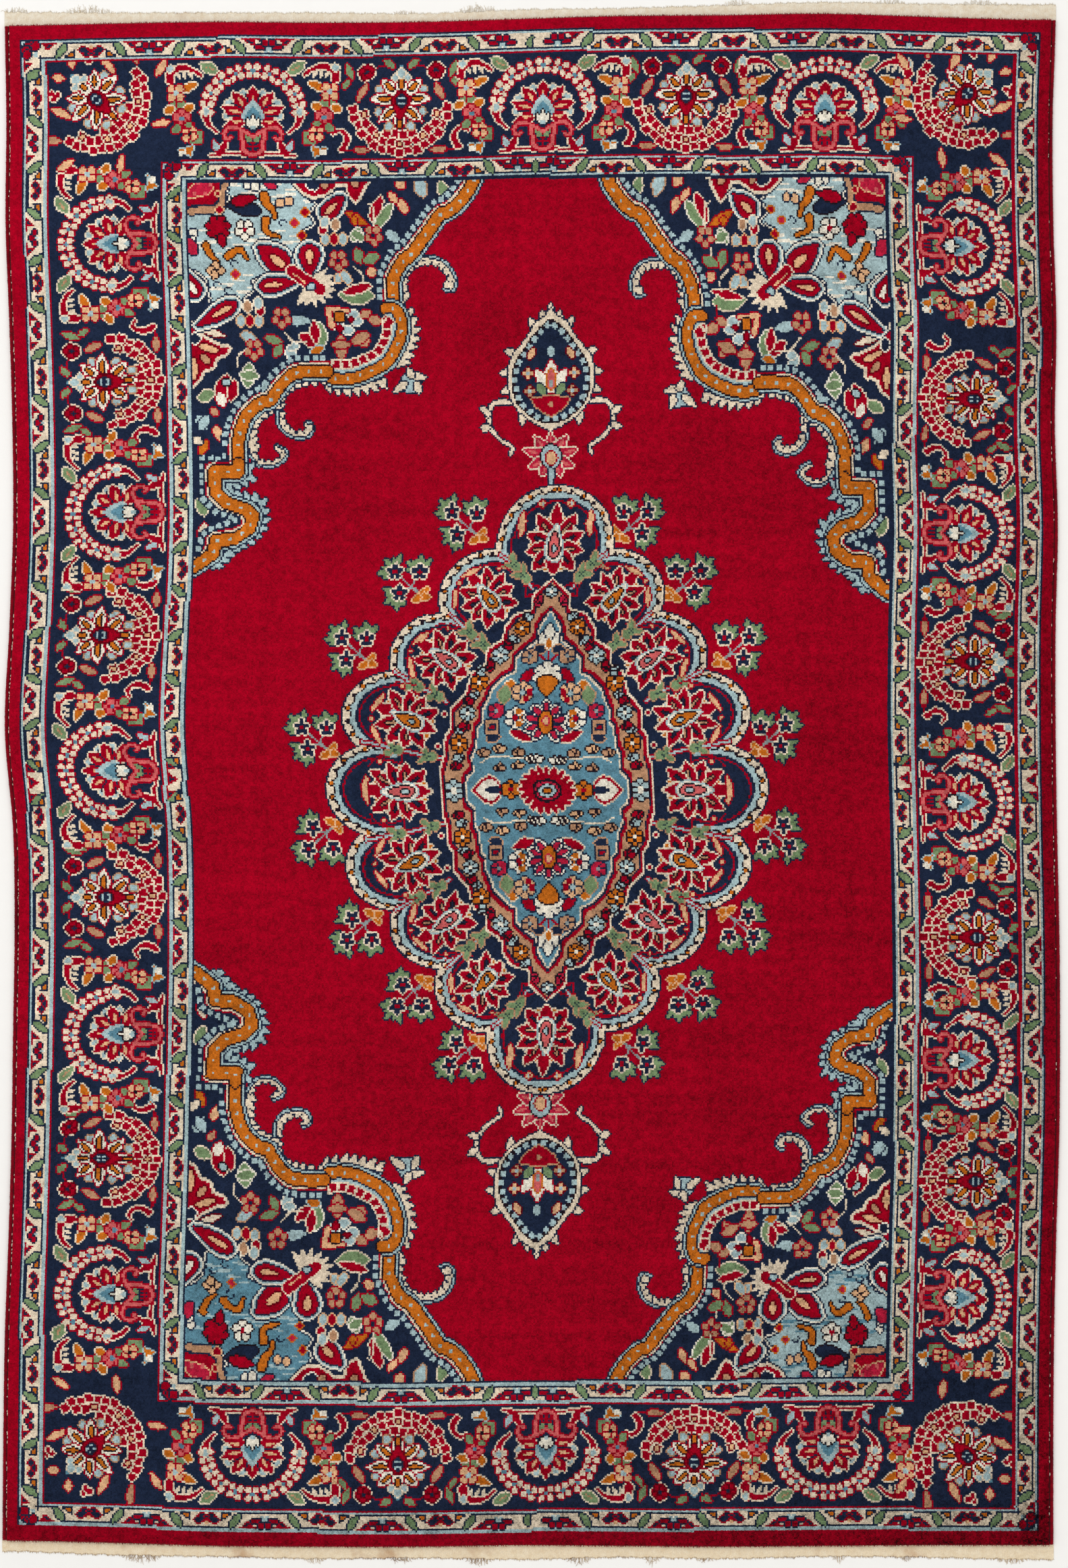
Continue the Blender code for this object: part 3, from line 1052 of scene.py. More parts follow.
        spot.fill(spot.oval(18, 15, 2.0) | spot.oval(17, 6, 1.4), "ra")
        spot.blossom(17, 25, 7, 4.4, 2.4, "rkr", 4.4)
        spot.fill(spot.petal((18, 29), (20, 36), 4.0), "rk")
        spot.blossom(32, 26, 5, 3.5, 2.2, "ikr", 1.5)
        for line, width in ((((43, 7), (45, 12), (48, 15), (49, 20)), 5.0), (((44, 21), (44, 27), (52, 30)),
                4.4), (((10, 35), (13, 41), (17, 44)), 3.8), (((22, 41), (29, 37), (33, 43)), 4.2)):
            spot.fill(spot.band(line, width, 1.4), "ok")
        for turn in (0, 90, 180, 250):
            spot.fill(spot.lens((15, 49), ray(5, -turn, 15, 49), 3), "ak")
        spot.fill(spot.petal((41, 16), (22, 12), 7.4), "nk")
        spot.fill(spot.petal((25, 11), (39, 8), 5.4), "rk")
        for u, v, wool in ((26, 51, "x"), (60, 22, "x"), (66, 16, "r"), (64, 29, "r")):
            spot.fill(spot.oval(u, v, 1.6), wool + "o")
        for u, v in ((52, 11), (57, 10), (34, 1), (38, 2), (3, 28), (2, 32)):
            spot.fill(spot.oval(u, v, 2.0, 2.4), ("a" if u > 45 else "i") + "n")
        spot.fill(spot.petal((43, -2), (50, 3), 4.6), "xn")
        spot.fill(spot.petal((-2, 32), (5, 40), 7), "xn")
        for u, v in ((54, 22), (26, 45), (22, 60), (16, 57)):
            spot.fill(spot.band([(u - 1, v + 2), (u - 2.4, v), (u, v - 2), (u + 2, v)], 0.9), "n")

    def paisleys(self, spot: Figure) -> None:
        """Knots the crimson paisleys, outlined in ivory and navy, and the toothed leaf between them.

        Args:
            spot: The motif's window.
        """
        for start, tip, width, heart in (((56, 48), (39, 35), 13, "a"), ((68, 34), (68, 52), 11, "a"),
                ((39, 58), (60, 55), 8, "a"), ((26, 67), (3, 80), 8, "a"), ((4, 64), (-2, 50), 9, "i"),
                ((76, 19), (88, 8), 10, "a")):
            spot.fill(spot.petal(start, tip, width, 0.36), "rnsin")
            spot.fill(spot.petal(part_way(start, tip, 0.15), part_way(start, tip, 0.62), width * 0.3), heart
                + "w")
        teeth = np.zeros(spot.u.shape, dtype=bool)
        for k in range(9):
            a = math.radians(-52 + 22 * k)
            teeth |= spot.petal((68, 58), (68 + 15 * math.cos(a), 58 + 12 * math.sin(a)), 5.0, 0.3)
        spot.fill(teeth, "cn")
        spot.fill(spot.band([(58, 49), (66, 55), (73, 60)], 6.4, 6.0), "rc")
        spot.fill(spot.oval(68, 58.5, 2.2, 1.6), "sn")
        spot.fill(spot.band([(58, 50), (65, 55.4)], 0.9), "a")

    def clouds(self, spot: Figure) -> None:
        """Knots the crimson cloud bands along both inner lines, with what lies on them.

        Args:
            spot: The motif's window.
        """
        for ring in (((59, -3), (64, 4), (70, 7), (77, 6), (84, 1), (90, 1), (92, 8), (96, 11), (98, 7),
                (101, 1), (106, -3)), ((-3, 75), (2, 83), (9, 88), (17, 92), (21, 92), (20, 95), (13, 98),
                (12, 103), (6, 105), (3, 111), (-3, 115))):
            spot.fill(spot.area(ring), "rccn")
        spot.fill(spot.area([(66, -3), (67, 2), (72, 4), (76, 0), (80, -3)]), "ni")
        spot.fill(spot.oval(2, 87, 2.6, 3.0), "ni")
        for start, tip, wool in (((4, 91), (15, 94), "a"), ((5, 96), (10, 101), "t"),
                ((1, 98), (1, 110), "a"), ((93, -1), (97, 3), "t"), ((76, -2), (78, 3), "t"),
                ((4, 81), (19, 86), "c")):
            spot.fill(spot.lens(start, tip, 3.0), wool + "w")

    def flowers(self, spot: Figure) -> None:
        """Knots the flowers, bells and leaves on the navy ground.

        Args:
            spot: The motif's window.
        """
        for start, tip, width, wools in (((92, 33), (97, 26), 5, "gi"), ((92, 28), (99, 32), 4, "gi"),
                ((97, 46), (94, 37), 5, "gr"), ((98, 45), (107, 41), 5, "gr"),
                ((106, 27), (116, 12), 5, "gi"), ((104, 22), (110, 8), 5, "rc"),
                ((84, 63), (103, 64), 9, "gc"), ((86, 62), (102, 58), 4, "rc"), ((73, 93), (72, 79), 6, "gi"),
                ((70, 92), (61, 85), 5, "rc"), ((70, 90), (69, 78), 4, "rc"), ((41, 86), (51, 89), 4, "gr"),
                ((46, 97), (51, 90), 4, "gr"), ((32, 101), (31, 114), 7, "gi"),
                ((27, 107), (37, 108), 4, "gi"), ((3, 121), (12, 117), 5, "gc"),
                ((54, 76), (67, 78), 5, "sn"), ((82, 56), (87, 50), 4, "sa"), ((86, 50), (90, 57), 4, "sa"),
                ((28, 84), (36, 88), 4, "st"), ((54, 92), (58, 100), 4, "si"), ((54, 92), (60, 92), 3, "si"),
                ((67, 95), (74, 93), 4, "os"), ((89, 17), (102, 24), 4, "or"), ((94, 19), (94, 24), 3, "or"),
                ((112, 28), (120, 33), 5, "sn"), ((101, 48), (104, 53), 4, "ar"),
                ((120, 10), (124, 18), 4, "ar"), ((114, 6), (119, 12), 3, "ar"),
                ((130, -2), (134, 9), 6, "st"), ((143, 0), (146, 10), 5, "gc"),
                ((118, -1), (123, 4), 5, "ar"), ((100, 76), (107, 79), 5, "tr"),
                ((95, 76), (101, 72), 4, "tr"), ((93, 84), (99, 92), 6, "tr"), ((90, 90), (100, 85), 5, "tr"),
                ((84, 86), (84, 99), 6, "tr"), ((79, 91), (89, 91), 4, "tr"), ((14, 122), (20, 107), 7, "rc"),
                ((21, 122), (24, 110), 5, "rc"), ((15, 117), (17, 125), 5, "ir"),
                ((17, 113), (21, 110), 3, "sk"), ((2, 130), (8, 138), 6, "sn"), ((9, 130), (3, 138), 5, "sn"),
                ((12, 136), (16, 144), 4, "ar"), ((8, 144), (3, 152), 4, "or"),
                ((10, 126), (14, 130), 3, "tr"), ((-1, 142), (5, 146), 4, "cn"),
                ((4, 158), (9, 164), 4, "ar"), ((2, 176), (6, 186), 5, "gc"), ((6, 190), (3, 200), 4, "cr")):
            spot.fill(spot.lens(start, tip, width), wools)
        for u, v in ((105, 30), (84, 44), (51, 75), (35, 93)):
            spot.blossom(u, v, 5, 3.7, 1.9, "trn", 1.3)
        for u, v, side in ((82, 30, -1), (33, 75, 1)):
            for du, dv, wool in ((-5, 2, "s"), (5, 2, "s"), (0, 2, "r"), (side * 6, -4, "r"),
                    (side * 5, -8, "s"), (-side, -6, "t")):
                spot.fill(spot.oval(u + du, v + dv, 2.0, 2.8), wool + ("a" if dv > 0 else "c"))
        spot.ovals("si", *((u, v, 2.8, 2.4) for u, v in ((82, 80), (88, 83), (93, 78), (91, 74))))
        spot.fill(spot.band([(79, 80), (77, 71), (88, 72)], 3.2, 2.0, smooth=False), "ar")
        spot.fill(spot.area([(81, 73), (86, 73), (86, 78), (81, 78)]), "ok")
        spot.fill(spot.oval(83.5, 82, 1.2, 2.2) | spot.oval(90, 77, 1.6, 1.0), "rw")
        for line, wool in ((((52, 83), (58, 89), (66, 90)), "c"), (((25, 104), (26, 97), (31, 92)), "c"),
                (((92, 47), (97, 52), (97, 58)), "c"), (((105, 26), (105, 14), (102, 12)), "c"),
                (((102, 36), (102, 40)), "c"), (((101, 66), (101, 72)), "r")):
            spot.fill(spot.band(line, 0.9), wool)


@dataclass(frozen=True)
class Medallion:
    """The sixteen-lobed medallion: banded lobes, a tan ring of flowers and a blue heart."""

    lobes: tuple[tuple[float, float, float, float], ...] = ((0, 136, 34, 34), (34, 108, 30, 27),
        (59, 74, 31, 26), (85, 42, 30, 25), (93, 0, 32, 27))
    ring_edge: tuple[Point, ...] = ((0, 118), (10.5, 109), (11.5, 100.5), (21, 98), (26, 90.5), (26.5, 84.5),
        (35, 79), (36, 70.5), (43, 66), (46, 54.5), (51, 49), (54, 46), (54, 35), (57, 31), (57.5, 21),
        (60, 13), (60.5, -1), (-1, -1), (-1, 118))
    heart_edge: tuple[Point, ...] = ((0, 102), (5, 97), (8, 92), (9, 84.5), (14, 81), (20, 75.5),
        (20.5, 67.5), (26, 65), (33, 58), (34.5, 53), (38, 46), (37.5, 40), (40, 37), (41.5, 26), (44, 20),
        (43, 12.5), (47, 9), (48.5, -1), (-1, -1), (-1, 102))

    def draw(self, spot: Figure) -> None:
        """Knots the medallion about its middle.

        Args:
            spot: The motif's window.
        """
        quarter = spot.mirrored()
        quarter.v = np.abs(spot.v)
        self.bands(quarter)
        self.leaves(quarter)
        self.palmettes(quarter)
        self.ring(quarter)
        self.heart(quarter, spot)

    def bands(self, quarter: Figure) -> None:
        """Knots the lobes' bands: cream with beads, blue, navy and crimson, round the navy ground.

        Args:
            quarter: The window, folded both ways.
        """
        u, v = quarter.u, quarter.v
        depth = (1 - np.hypot(u / 92, v / 122)) * 92
        along = np.zeros(u.shape)
        for lobe_u, lobe_v, across, up in self.lobes:
            for side in (1, -1):
                du, dv = u - side * lobe_u, v - lobe_v
                here = (1 - np.hypot(du / across, dv / up)) * (across + up) / 2
                deeper = here > depth
                depth = np.where(deeper, here, depth)
                along = np.where(deeper, np.arctan2(dv, du) * (across + up) / 2, along)
        wave = 0.6 * np.cos(along * 0.7)
        for start, wool in ((0, "n"), (1.0, "c"), (4.0, "k"), (4.9, "s"), (7.6, "n"), (9.2, "r"),
                (10.3, "n")):
            quarter.fill(depth > start + (wave if start in (4.0, 4.9) else 0), wool)
        bead = np.abs(np.mod(along, 8.0) - 4.0) + np.abs(depth - 3.2)
        second = np.mod(along, 16.0) < 8.0
        quarter.fill(bead < np.where(second, 2.2, 1.5), "k")
        quarter.fill((bead < 1.3) & second, "o")

    def leaves(self, quarter: Figure) -> None:
        """Knots the stem and two ragged green leaves that run in from each cusp.

        Args:
            quarter: The window, folded both ways.
        """
        for line in (((30, 131), (23, 126), (17, 120), (12, 113)), ((57, 99), (46, 89), (38, 82), (32, 78)),
                ((86, 66), (75, 60), (63, 54), (55, 49)), ((103, 27), (86, 24), (67, 20), (58, 18))):
            quarter.fill(quarter.band(line, 1.2), "sr")
            for (u0, v0), (u1, v1) in ((line[0], line[1]), (line[1], line[2])):
                leaf = quarter.moved(u1, v1, math.degrees(math.atan2(v1 - v0, u1 - u0)), 0.86)
                for tip, width in (((-4.5, 5.2), 2.6), ((-4.5, -5.2), 2.6), ((7, 0), 5.4)):
                    leaf.leaf((1.4, 0), tip, width, "gt")
                leaf.fill(leaf.petal((-2, 0), (6, 0), 5.4), "g")
                leaf.fill(leaf.band([(-2, 0), (3, 0)], 0.8) | leaf.oval(1, 1.8, 0.6)
                    | leaf.oval(1, -1.8, 0.6), "G")

    def palmettes(self, quarter: Figure) -> None:
        """Knots a palmette in each lobe, with curled leaves and buds towards the lobe's edge.

        Args:
            quarter: The window, folded both ways.
        """
        hearts = "popop"
        places = ((0, 135, 90, 1.0), (34.5, 106, 50, 0.9), (56.5, 72.5, 34, 0.93), (76, 39.5, 22, 0.96),
            (81, 0, 0, 1.0))
        for (u, v, lean, size), heart in zip(places, hearts):
            spot = quarter.moved(u, v, lean - 90, size)
            if u == 0:
                spot.u = np.abs(spot.u)
            self.palmette(spot, heart)
            if u == 0:
                spot.fill(spot.lens((19, 20), (20, 6), 3.4), "ar")
                spot.blossom(8, 24, 4, 1.3, 1.0, "ars", 0.8)
                continue
            for start, tip in (((-8, 20), (4, 23)), ((12, 19.5), (19.5, 11))):
                spot.fill(spot.lens(start, tip, 2.4), "ar")
            spot.fill(spot.band([(-13, 19), (-18.5, 14), (-20, 6)], 1.0), "r")
            spot.fill(spot.oval(-16, 12, 1.0) | spot.oval(8, 21.4, 1.0), "ar")
        for u, v in ((57, 43), (60.5, 25)):
            quarter.fill(quarter.oval(u, v, 1.0), "rc")

    def palmette(self, spot: Figure, heart: str) -> None:
        """Knots one palmette pointing along v: flames round a lens of another wool.

        Args:
            spot: The motif's window.
            heart: The letter of its heart.
        """
        for angle, reach, wool in ((17, 17, "o"), (50, 15, "s"), (84, 14, "o"), (118, 13, "s"),
                (160, 14, "o")):
            for side in (1, -1):
                lean = 90 + side * angle
                spot.leaf(ray(reach * 0.4, lean), ray(reach, lean), 3.4, wool + "c")
        for angle, reach in ((0, 24), (31, 21), (64, 17.6), (99, 16), (138, 17.5), (178, 15.5)):
            for side in (1, -1):
                root, vein, far, bend, tip = (ray(reach * share, 90 + side * angle)
                    for share in (0.2, 0.42, 0.68, 0.8, 1))
                spot.fill(spot.petal(root, tip, 7.4, 0.4), "rc")
                spot.fill(spot.petal(root, bend, 7.4), "r")
                if angle not in (0, 178):
                    spot.fill(spot.band([vein, far], 1.0), ("t" if angle % 2 else "n") + "k")
        spot.fill(spot.petal((0, -8), (0, 12.6), 9.0, 0.3), "is")
        spot.fill(spot.petal((0, -6), (0, 8.8), 5.6, 0.3), heart + "k")
        spot.fill(spot.oval(0, -1, 1.1, 2.0), "sk")

    def ring(self, quarter: Figure) -> None:
        """Knots the tan stepped ring and the flowers on it.

        Args:
            quarter: The window, folded both ways.
        """
        for edge, steps in ((self.ring_edge, ((0, "c"), (1.2, "r"), (2.8, "n"), (3.6, "t"))),
                (self.heart_edge, ((-0.6, "r"), (1.0, "n"), (2.2, "c"), (3.2, "b")))):
            for step, wool in steps:
                inner = [(u - 0.85 * step if u > 0 else u, v - 0.8 * step if v > 0 else v) for u, v in edge]
                quarter.fill(quarter.area(inner), wool)
        for u, v, wool, size in ((0, 110, "s", 0.8), (15.5, 90, "o", 1.0), (27, 75, "s", 1.05),
                (38, 60, "o", 1.15), (44, 43, "s", 0.95), (48.5, 26, "o", 1.1), (52.5, 1, "s", 1.15)):
            quarter.blossom(u, v, 6, 2.7 * size, 1.6 * size, wool + "ki", 1.2 * size)
        for u, v, wool, lean in ((5.5, 104.5, "x", 20), (31, 69, "r", 0), (24, 80, "r", 160),
                (50.5, 12, "r", 90), (13, 95, "s", 110), (19, 85, "s", 300), (39, 66, "s", 160),
                (41, 54, "s", 250), (48, 32, "s", 90), (49, 19.5, "s", 270), (44, 49, "r", 110),
                (45, 37, "r", 290)):
            for turn in (-50, 0, 50):
                quarter.fill(quarter.lens((u, v), ray(3.6, lean + turn, u, v), 2.2), wool + "k")

    def heart(self, quarter: Figure, spot: Figure) -> None:
        """Knots the blue heart's tulips, small flowers and the crimson rosette in the middle.

        Args:
            quarter: The window, folded both ways.
            spot: The same window, unfolded.
        """
        q = quarter
        for start, tip, width, wools in (((0, 80), (0, 92), 5.4, "in"), ((3, 78), (4.4, 87), 3.0, "in"),
                ((2, 77), (8, 79), 4.4, "nt"), ((0, 78), (0, 84), 2.4, "oi"), ((18, 60), (24, 57), 3.6, "oc"),
                ((6, 67), (15, 60), 4.8, "rn"), ((23, 58), (24, 48), 6.4, "gt"),
                ((20, 33), (8, 27), 4.0, "rc"), ((26, 30), (33, 28), 4.0, "nt")):
            q.fill(q.lens(start, tip, width), wools)
        q.fill(q.band([(0, 77), (0, 70), (5, 75), (9, 74)], 0.9, smooth=False), "r")
        for u, v, (wool, centre, second) in ((10.4, 74, "tmt"), (28, 44, "xmx"), (13.4, 54, "asr"),
                (17, 40, "iro")):
            size = 1.0 if second == wool else 1.35
            q.blossom(u, v, 6, 2.9 * size, 1.5 * size, wool + "n" + centre, 1.2 * size)
            for a in (0.0, -1.05, 1.05 - 2.1 * (v > 45)):
                place = (u - 2.9 * size * math.cos(a), v + 2.9 * size * math.sin(a))
                q.fill(q.oval(*place, 1.4 * size), second)
        q.ovals("in", (0, 68.6, 2.8), (4.4, 66, 2.8), (5.2, 62, 2.8))
        q.fill(q.oval(0, 64.5, 5.0, 3.2), "i")
        q.fill(q.petal((0, 63), (0, 52), 11, 0.3), "ok")
        for reach, lean in ((13, 90), (13, 52), (13.4, 16), (13, -20), (12, -54)):
            root, bend, tip = (ray(reach * share, lean, 0, 37) for share in (0.25, 0.85, 1))
            q.fill(q.petal(root, tip, 5.6, 0.6), "in")
            q.fill(q.lens(root, bend, 2.2), "xn")
        q.fill(q.oval(0, 37, 3.6, 6.2), "ok")
        q.fill(q.oval(0, 38, 1.5, 2.2), "ax")
        q.fill(q.square(3.6, 30, 35), "tn")
        q.fill(q.square(2.2, 30, 35), "n")
        q.fill(q.oval(30, 35, 1.3), "r")
        q.fill(q.band([(37, 15), (30, 18.4), (12, 17.2)], 1.0), "c")
        for u, v, wool in ((35, 21, "t"), (26, 23, "a"), (15.5, 21, "t"), (26, 12.5, "t"), (16, 13.5, "a"),
                (8, 17, "c"), (5, 17, "i")):
            for lean in (30, 90, 150):
                q.fill(q.lens((u, v - 1.4), ray(3.6, lean, u, v - 1.4), 2.4), wool + "k")
        q.fill(q.petal((26, 0), (42, 0), 15, 0.4), "rc")
        q.fill(q.petal((27, 0), (40, 0), 12, 0.4), "i")
        q.fill(q.petal((26, 0), (35, 0), 4.4), "n")
        q.fill(q.band([(27, 0), (32, 0)], 0.8), "x")
        q.blossom(20.4, 0, 6, 3.2, 1.9, "okr", 1.4)
        for k in range(20):
            a = math.radians(90 + 18 * k)
            spot.fill(spot.petal((0, 0), (16 * math.cos(a), 13.4 * math.sin(a)), 3.6, 0.75), "rc")
        for k in range(20):
            a = math.radians(90 + 18 * k)
            spot.fill(spot.band([(0, 0), (14.6 * math.cos(a), 12 * math.sin(a))], 2.2), "r")
        for across, up, wool in ((8.2, 6.6, "k"), (6.6, 5.2, "x"), (5.6, 4.2, "k"), (4.8, 3.6, "s"),
                (2.6, 2.1, "k"), (1.7, 1.4, "o")):
            spot.fill(spot.oval(0, 0, across, up), wool)


@dataclass(frozen=True)
class Pendant:
    """The pendant on each end of the medallion, with a pink palmette between two tendrils."""

    def draw(self, spot: Figure) -> None:
        """Knots the pendant about its middle, pointing along v away from the medallion.

        Args:
            spot: The motif's window.
        """
        pair = spot.mirrored()
        pair.fill(pair.band([(21, -17), (31, -17), (35, -23), (34, -31), (28, -38), (22, -42), (23, -46)],
            2.4, 1.6), "cn")
        pair.fill(pair.petal((34, -24), (40, -20), 3) | pair.petal((34, -30), (40, -32), 3), "cn")
        pair.petals("cn", ((0, 26), (0, 38), 4.6), ((4, 26), (5, 34), 3.6), ((8, 22), (12, 30), 4),
            ((20, 10), (26, 12), 3.6), ((22, 0), (29, -1), 3.8), ((22, -8), (28, -12), 3.8),
            ((16, -22), (16, -30), 3.8))
        rim = [(0, 35), (3, 31), (9, 27), (13, 20), (17, 15), (22, 9), (24, 2), (24, -8), (22, -16),
            (18, -22), (12, -27), (5, -31), (0, -33)]
        ring = [(0, 27), (5, 23), (10, 17), (14, 11), (18, 5), (20, -2), (19.6, -10), (17, -17), (12, -22),
            (6, -26), (0, -27)]
        pair.fill(pair.area([(-1, 35), *rim, (-1, -33)]), "cn")
        pair.fill(pair.band(ring, 4.6), "k")
        pair.fill(pair.area([(-1, 27), *ring, (-1, -27)]), "n")
        for place in paces(smooth_line(ring, 4), 4.8):
            tile = pair.moved(*place)
            pair.fill((np.abs(tile.u) < 1.6) & (np.abs(tile.v) < 1.5), "s")
        pair.fill(pair.lens((9, 13), (13, 7), 3.4), "aw")
        pair.blossom(13, -1, 4, 1.8, 1.3, "aws", 0.8)
        pair.blossom(12, -11, 4, 1.8, 1.3, "tws", 0.8)
        spot.fill(spot.lens((0, 8), (0, 14), 4), "s")
        pair.petals("ir", ((0, -12), (0, 6), 9), ((3, -8), (8.4, 1), 5))
        pair.fill(pair.petal((0, -10), (0, 2), 4.4), "po")
        spot.fill(spot.oval(0, -7, 1.2, 1.8), "m")
        pair.leaf((3, -13), (8, -7), 3.6, "gn")
        pair.fill(pair.area([(0, -14), (10.6, -15), (9, -19), (4, -23), (0, -25)]), "rt")
        pair.fill(pair.oval(0, -18.6, 1.4), "t")
        self.palmette(spot.moved(0, -48))

    def palmette(self, spot: Figure) -> None:
        """Knots the pink palmette that joins the pendant to the medallion.

        Args:
            spot: The motif's window.
        """
        pair = spot.mirrored()
        for angle, reach in ((90, 13.4), (52, 14.6), (16, 15.6), (-24, 14), (-62, 12)):
            root, vein, bend, tip = (ray(reach * share, angle) for share in (0.2, 0.45, 0.85, 1))
            pair.fill(pair.petal(root, tip, 6.0, 0.35), "xc")
            pair.fill(pair.lens(vein, bend, 1.2), "p")
        spot.fill(spot.oval(0, 0.4, 5.4, 6.4), "sk")
        spot.fill(spot.oval(0, -0.4, 3.0, 3.6), "ar")
        spot.fill(spot.band([(0, -7), (0, -16)], 2.2), "sn")


@dataclass(frozen=True)
class FieldSpray:
    """Three navy flowers with green leaves, tied by stems to an ochre leaf."""

    def draw(self, spot: Figure) -> None:
        """Knots the spray, with its ochre leaf towards the medallion along -v.

        Args:
            spot: The motif's window.
        """
        for u, v in ((-6, 2), (8, 1.5), (-3, -10)):
            spot.fill(spot.band([(u, v), (4, -7), (8, -10)], 0.9), "m")
        for (u, v), turns in (((-6, 2), (80, 135, 185)), ((8, 1.5), (50, 95, 140)),
                ((-3, -10), (165, 215, 262))):
            leaves = np.zeros(spot.u.shape, dtype=bool)
            for turn in turns:
                for lean, length in ((0, 9.8), (26, 7.8)):
                    leaves |= spot.lens(ray(2.6, turn + lean, u, v), ray(length, turn + lean, u, v), 2.4)
            spot.fill(leaves, "gn")
            petals = spot.oval(u, v, 2.2)
            for lean in range(90, 450, 72):
                petals |= spot.oval(*ray(3.1, lean, u, v), 1.5)
            spot.fill(petals, "nc")
            spot.fill(spot.oval(u, v, 1.2), "r")
        spot.petals("oa", ((9, -12), (13, -7), 3.2), ((9, -12), (14.5, -13), 3.6), ((9, -12), (4, -15), 3.0))


def sides_of(left: float, top: float, right: float, bottom: float, wide: float = 1.0,
        tall: tuple[float, float, float, float] = (1, 1, 1, 1)) -> tuple[Side, ...]:
    """Makes the four sides of a rectangle, each running from one corner to the next.

    Args:
        left: The rectangle's left, in knots.
        top: Its top.
        right: Its right.
        bottom: Its bottom.
        wide: Stretch of the motifs along the long sides.
        tall: Their stretch upwards on each side.

    Returns:
        The sides.
    """
    across, along = right - left, bottom - top
    return (Side(left, top, 0, across, tall=tall[0]), Side(right, top, -90, along, wide=wide, tall=tall[1]),
        Side(right, bottom, 180, across, tall=tall[2]), Side(left, bottom, 90, along, wide=wide,
        tall=tall[3]))


def waver(chart: Chart) -> None:
    """Lets the knotted lines stray by a knot or so, as they do between one sitting and the next.

    Args:
        chart: The chart to draw on.
    """
    rows, columns = np.indices(chart.knots.shape)
    near_left = 1 - columns / chart.knots.shape[1]
    aside = near_left * (1.9 * np.exp(-((rows - 170) / 90) ** 2) - 1.2 * np.exp(-((rows - 620) / 80) ** 2))
    aside += 0.5 * np.sin(rows / 41 + columns / 170)
    along = 0.8 * np.sin(columns / 67 + rows / 230 + 0.7)
    from_rows = np.clip(np.rint(rows - along), 0, len(rows) - 1).astype(int)
    from_columns = np.clip(np.rint(columns - aside), 0, chart.knots.shape[1] - 1).astype(int)
    chart.knots = chart.knots[from_rows, from_columns]


def weave_chart() -> Chart:
    """Draws the whole rug's chart.

    Returns:
        The chart.
    """
    layout = Layout()
    chart = Chart(layout.columns, layout.rows)
    layout.draw(chart)
    MainBorder(sides=(Side(0, 76.8, 0, 584), Side(508, 0, -90, 852, wide=0.9), Side(584, 773.4, 180, 584),
        Side(83.8, 852, 90, 852, wide=0.9, tall=1.08)), palmettes=((135.5, 299.5, 458),
        (127.5, 287.5, 438.5, 582.5, 715), (446.5, 282, 124), (729.5, 578, 433, 284.5, 138.5)),
        rosettes=((219, 380), (212.5, 360, 514, 650), (365, 199), (652, 509, 362, 214.5)),
        corners=((48, 42, 45), (537.5, 42.5, -45), (537.5, 802, -135), (47.5, 800, 135))).draw(chart,
        layout.frames[5], layout.frames[6])
    GuardStripe(sides_of(13, 13.6, 570.7, 837.7), (8, 15, 8, 15), (16, 19.5, 16, 19.5)).draw(chart)
    GuardStripe(sides_of(91.3, 83, 500, 766), (6, 13, 6, 13), (10, 19.5, 10, 19.5), high=3.7,
        low=-3.8).draw(chart)
    field = chart.within(layout.frames[-1])
    before = chart.knots.copy()
    for x, y, wide, tall, ground, paler in ((99, 90, 1, -1, "s", "i"), (491, 90, -0.957, -1.075, "s", "i"),
            (99, 759, 1, 1.056, "b", "s"), (491, 759, -0.926, 0.95, "s", "b")):
        Spandrel(ground, paler).draw(chart.figure(x, y, 236, wide=wide, tall=tall))
    for u, v in ((49.5, 152), (80, 119), (108.5, 82), (129.5, 32)):
        for side in (1, -1):
            for end in (1, -1):
                FieldSpray().draw(chart.figure(299.5 - side * u, 429 - end * v, 26, wide=side, tall=end))
    Pendant().draw(chart.figure(301, 197, 70, slant=0.01))
    Pendant().draw(chart.figure(295, 653, 70, tall=-1, slant=0.01))
    Medallion().draw(chart.figure(300, 430, 180, slant=0.02))
    chart.knots[~field] = before[~field]
    waver(chart)
    return chart


Colour = tuple[float, float, float]


def linear(colour: Colour) -> tuple[float, float, float, float]:
    """Turns a colour as a screen shows it into the renderer's linear light, with full alpha."""
    parts = [c / 12.92 if c <= 0.04045 else ((c + 0.055) / 1.055) ** 2.4 for c in colour]
    return (*parts, 1.0)


Socket = bpy.types.NodeSocket
Number = float | Socket


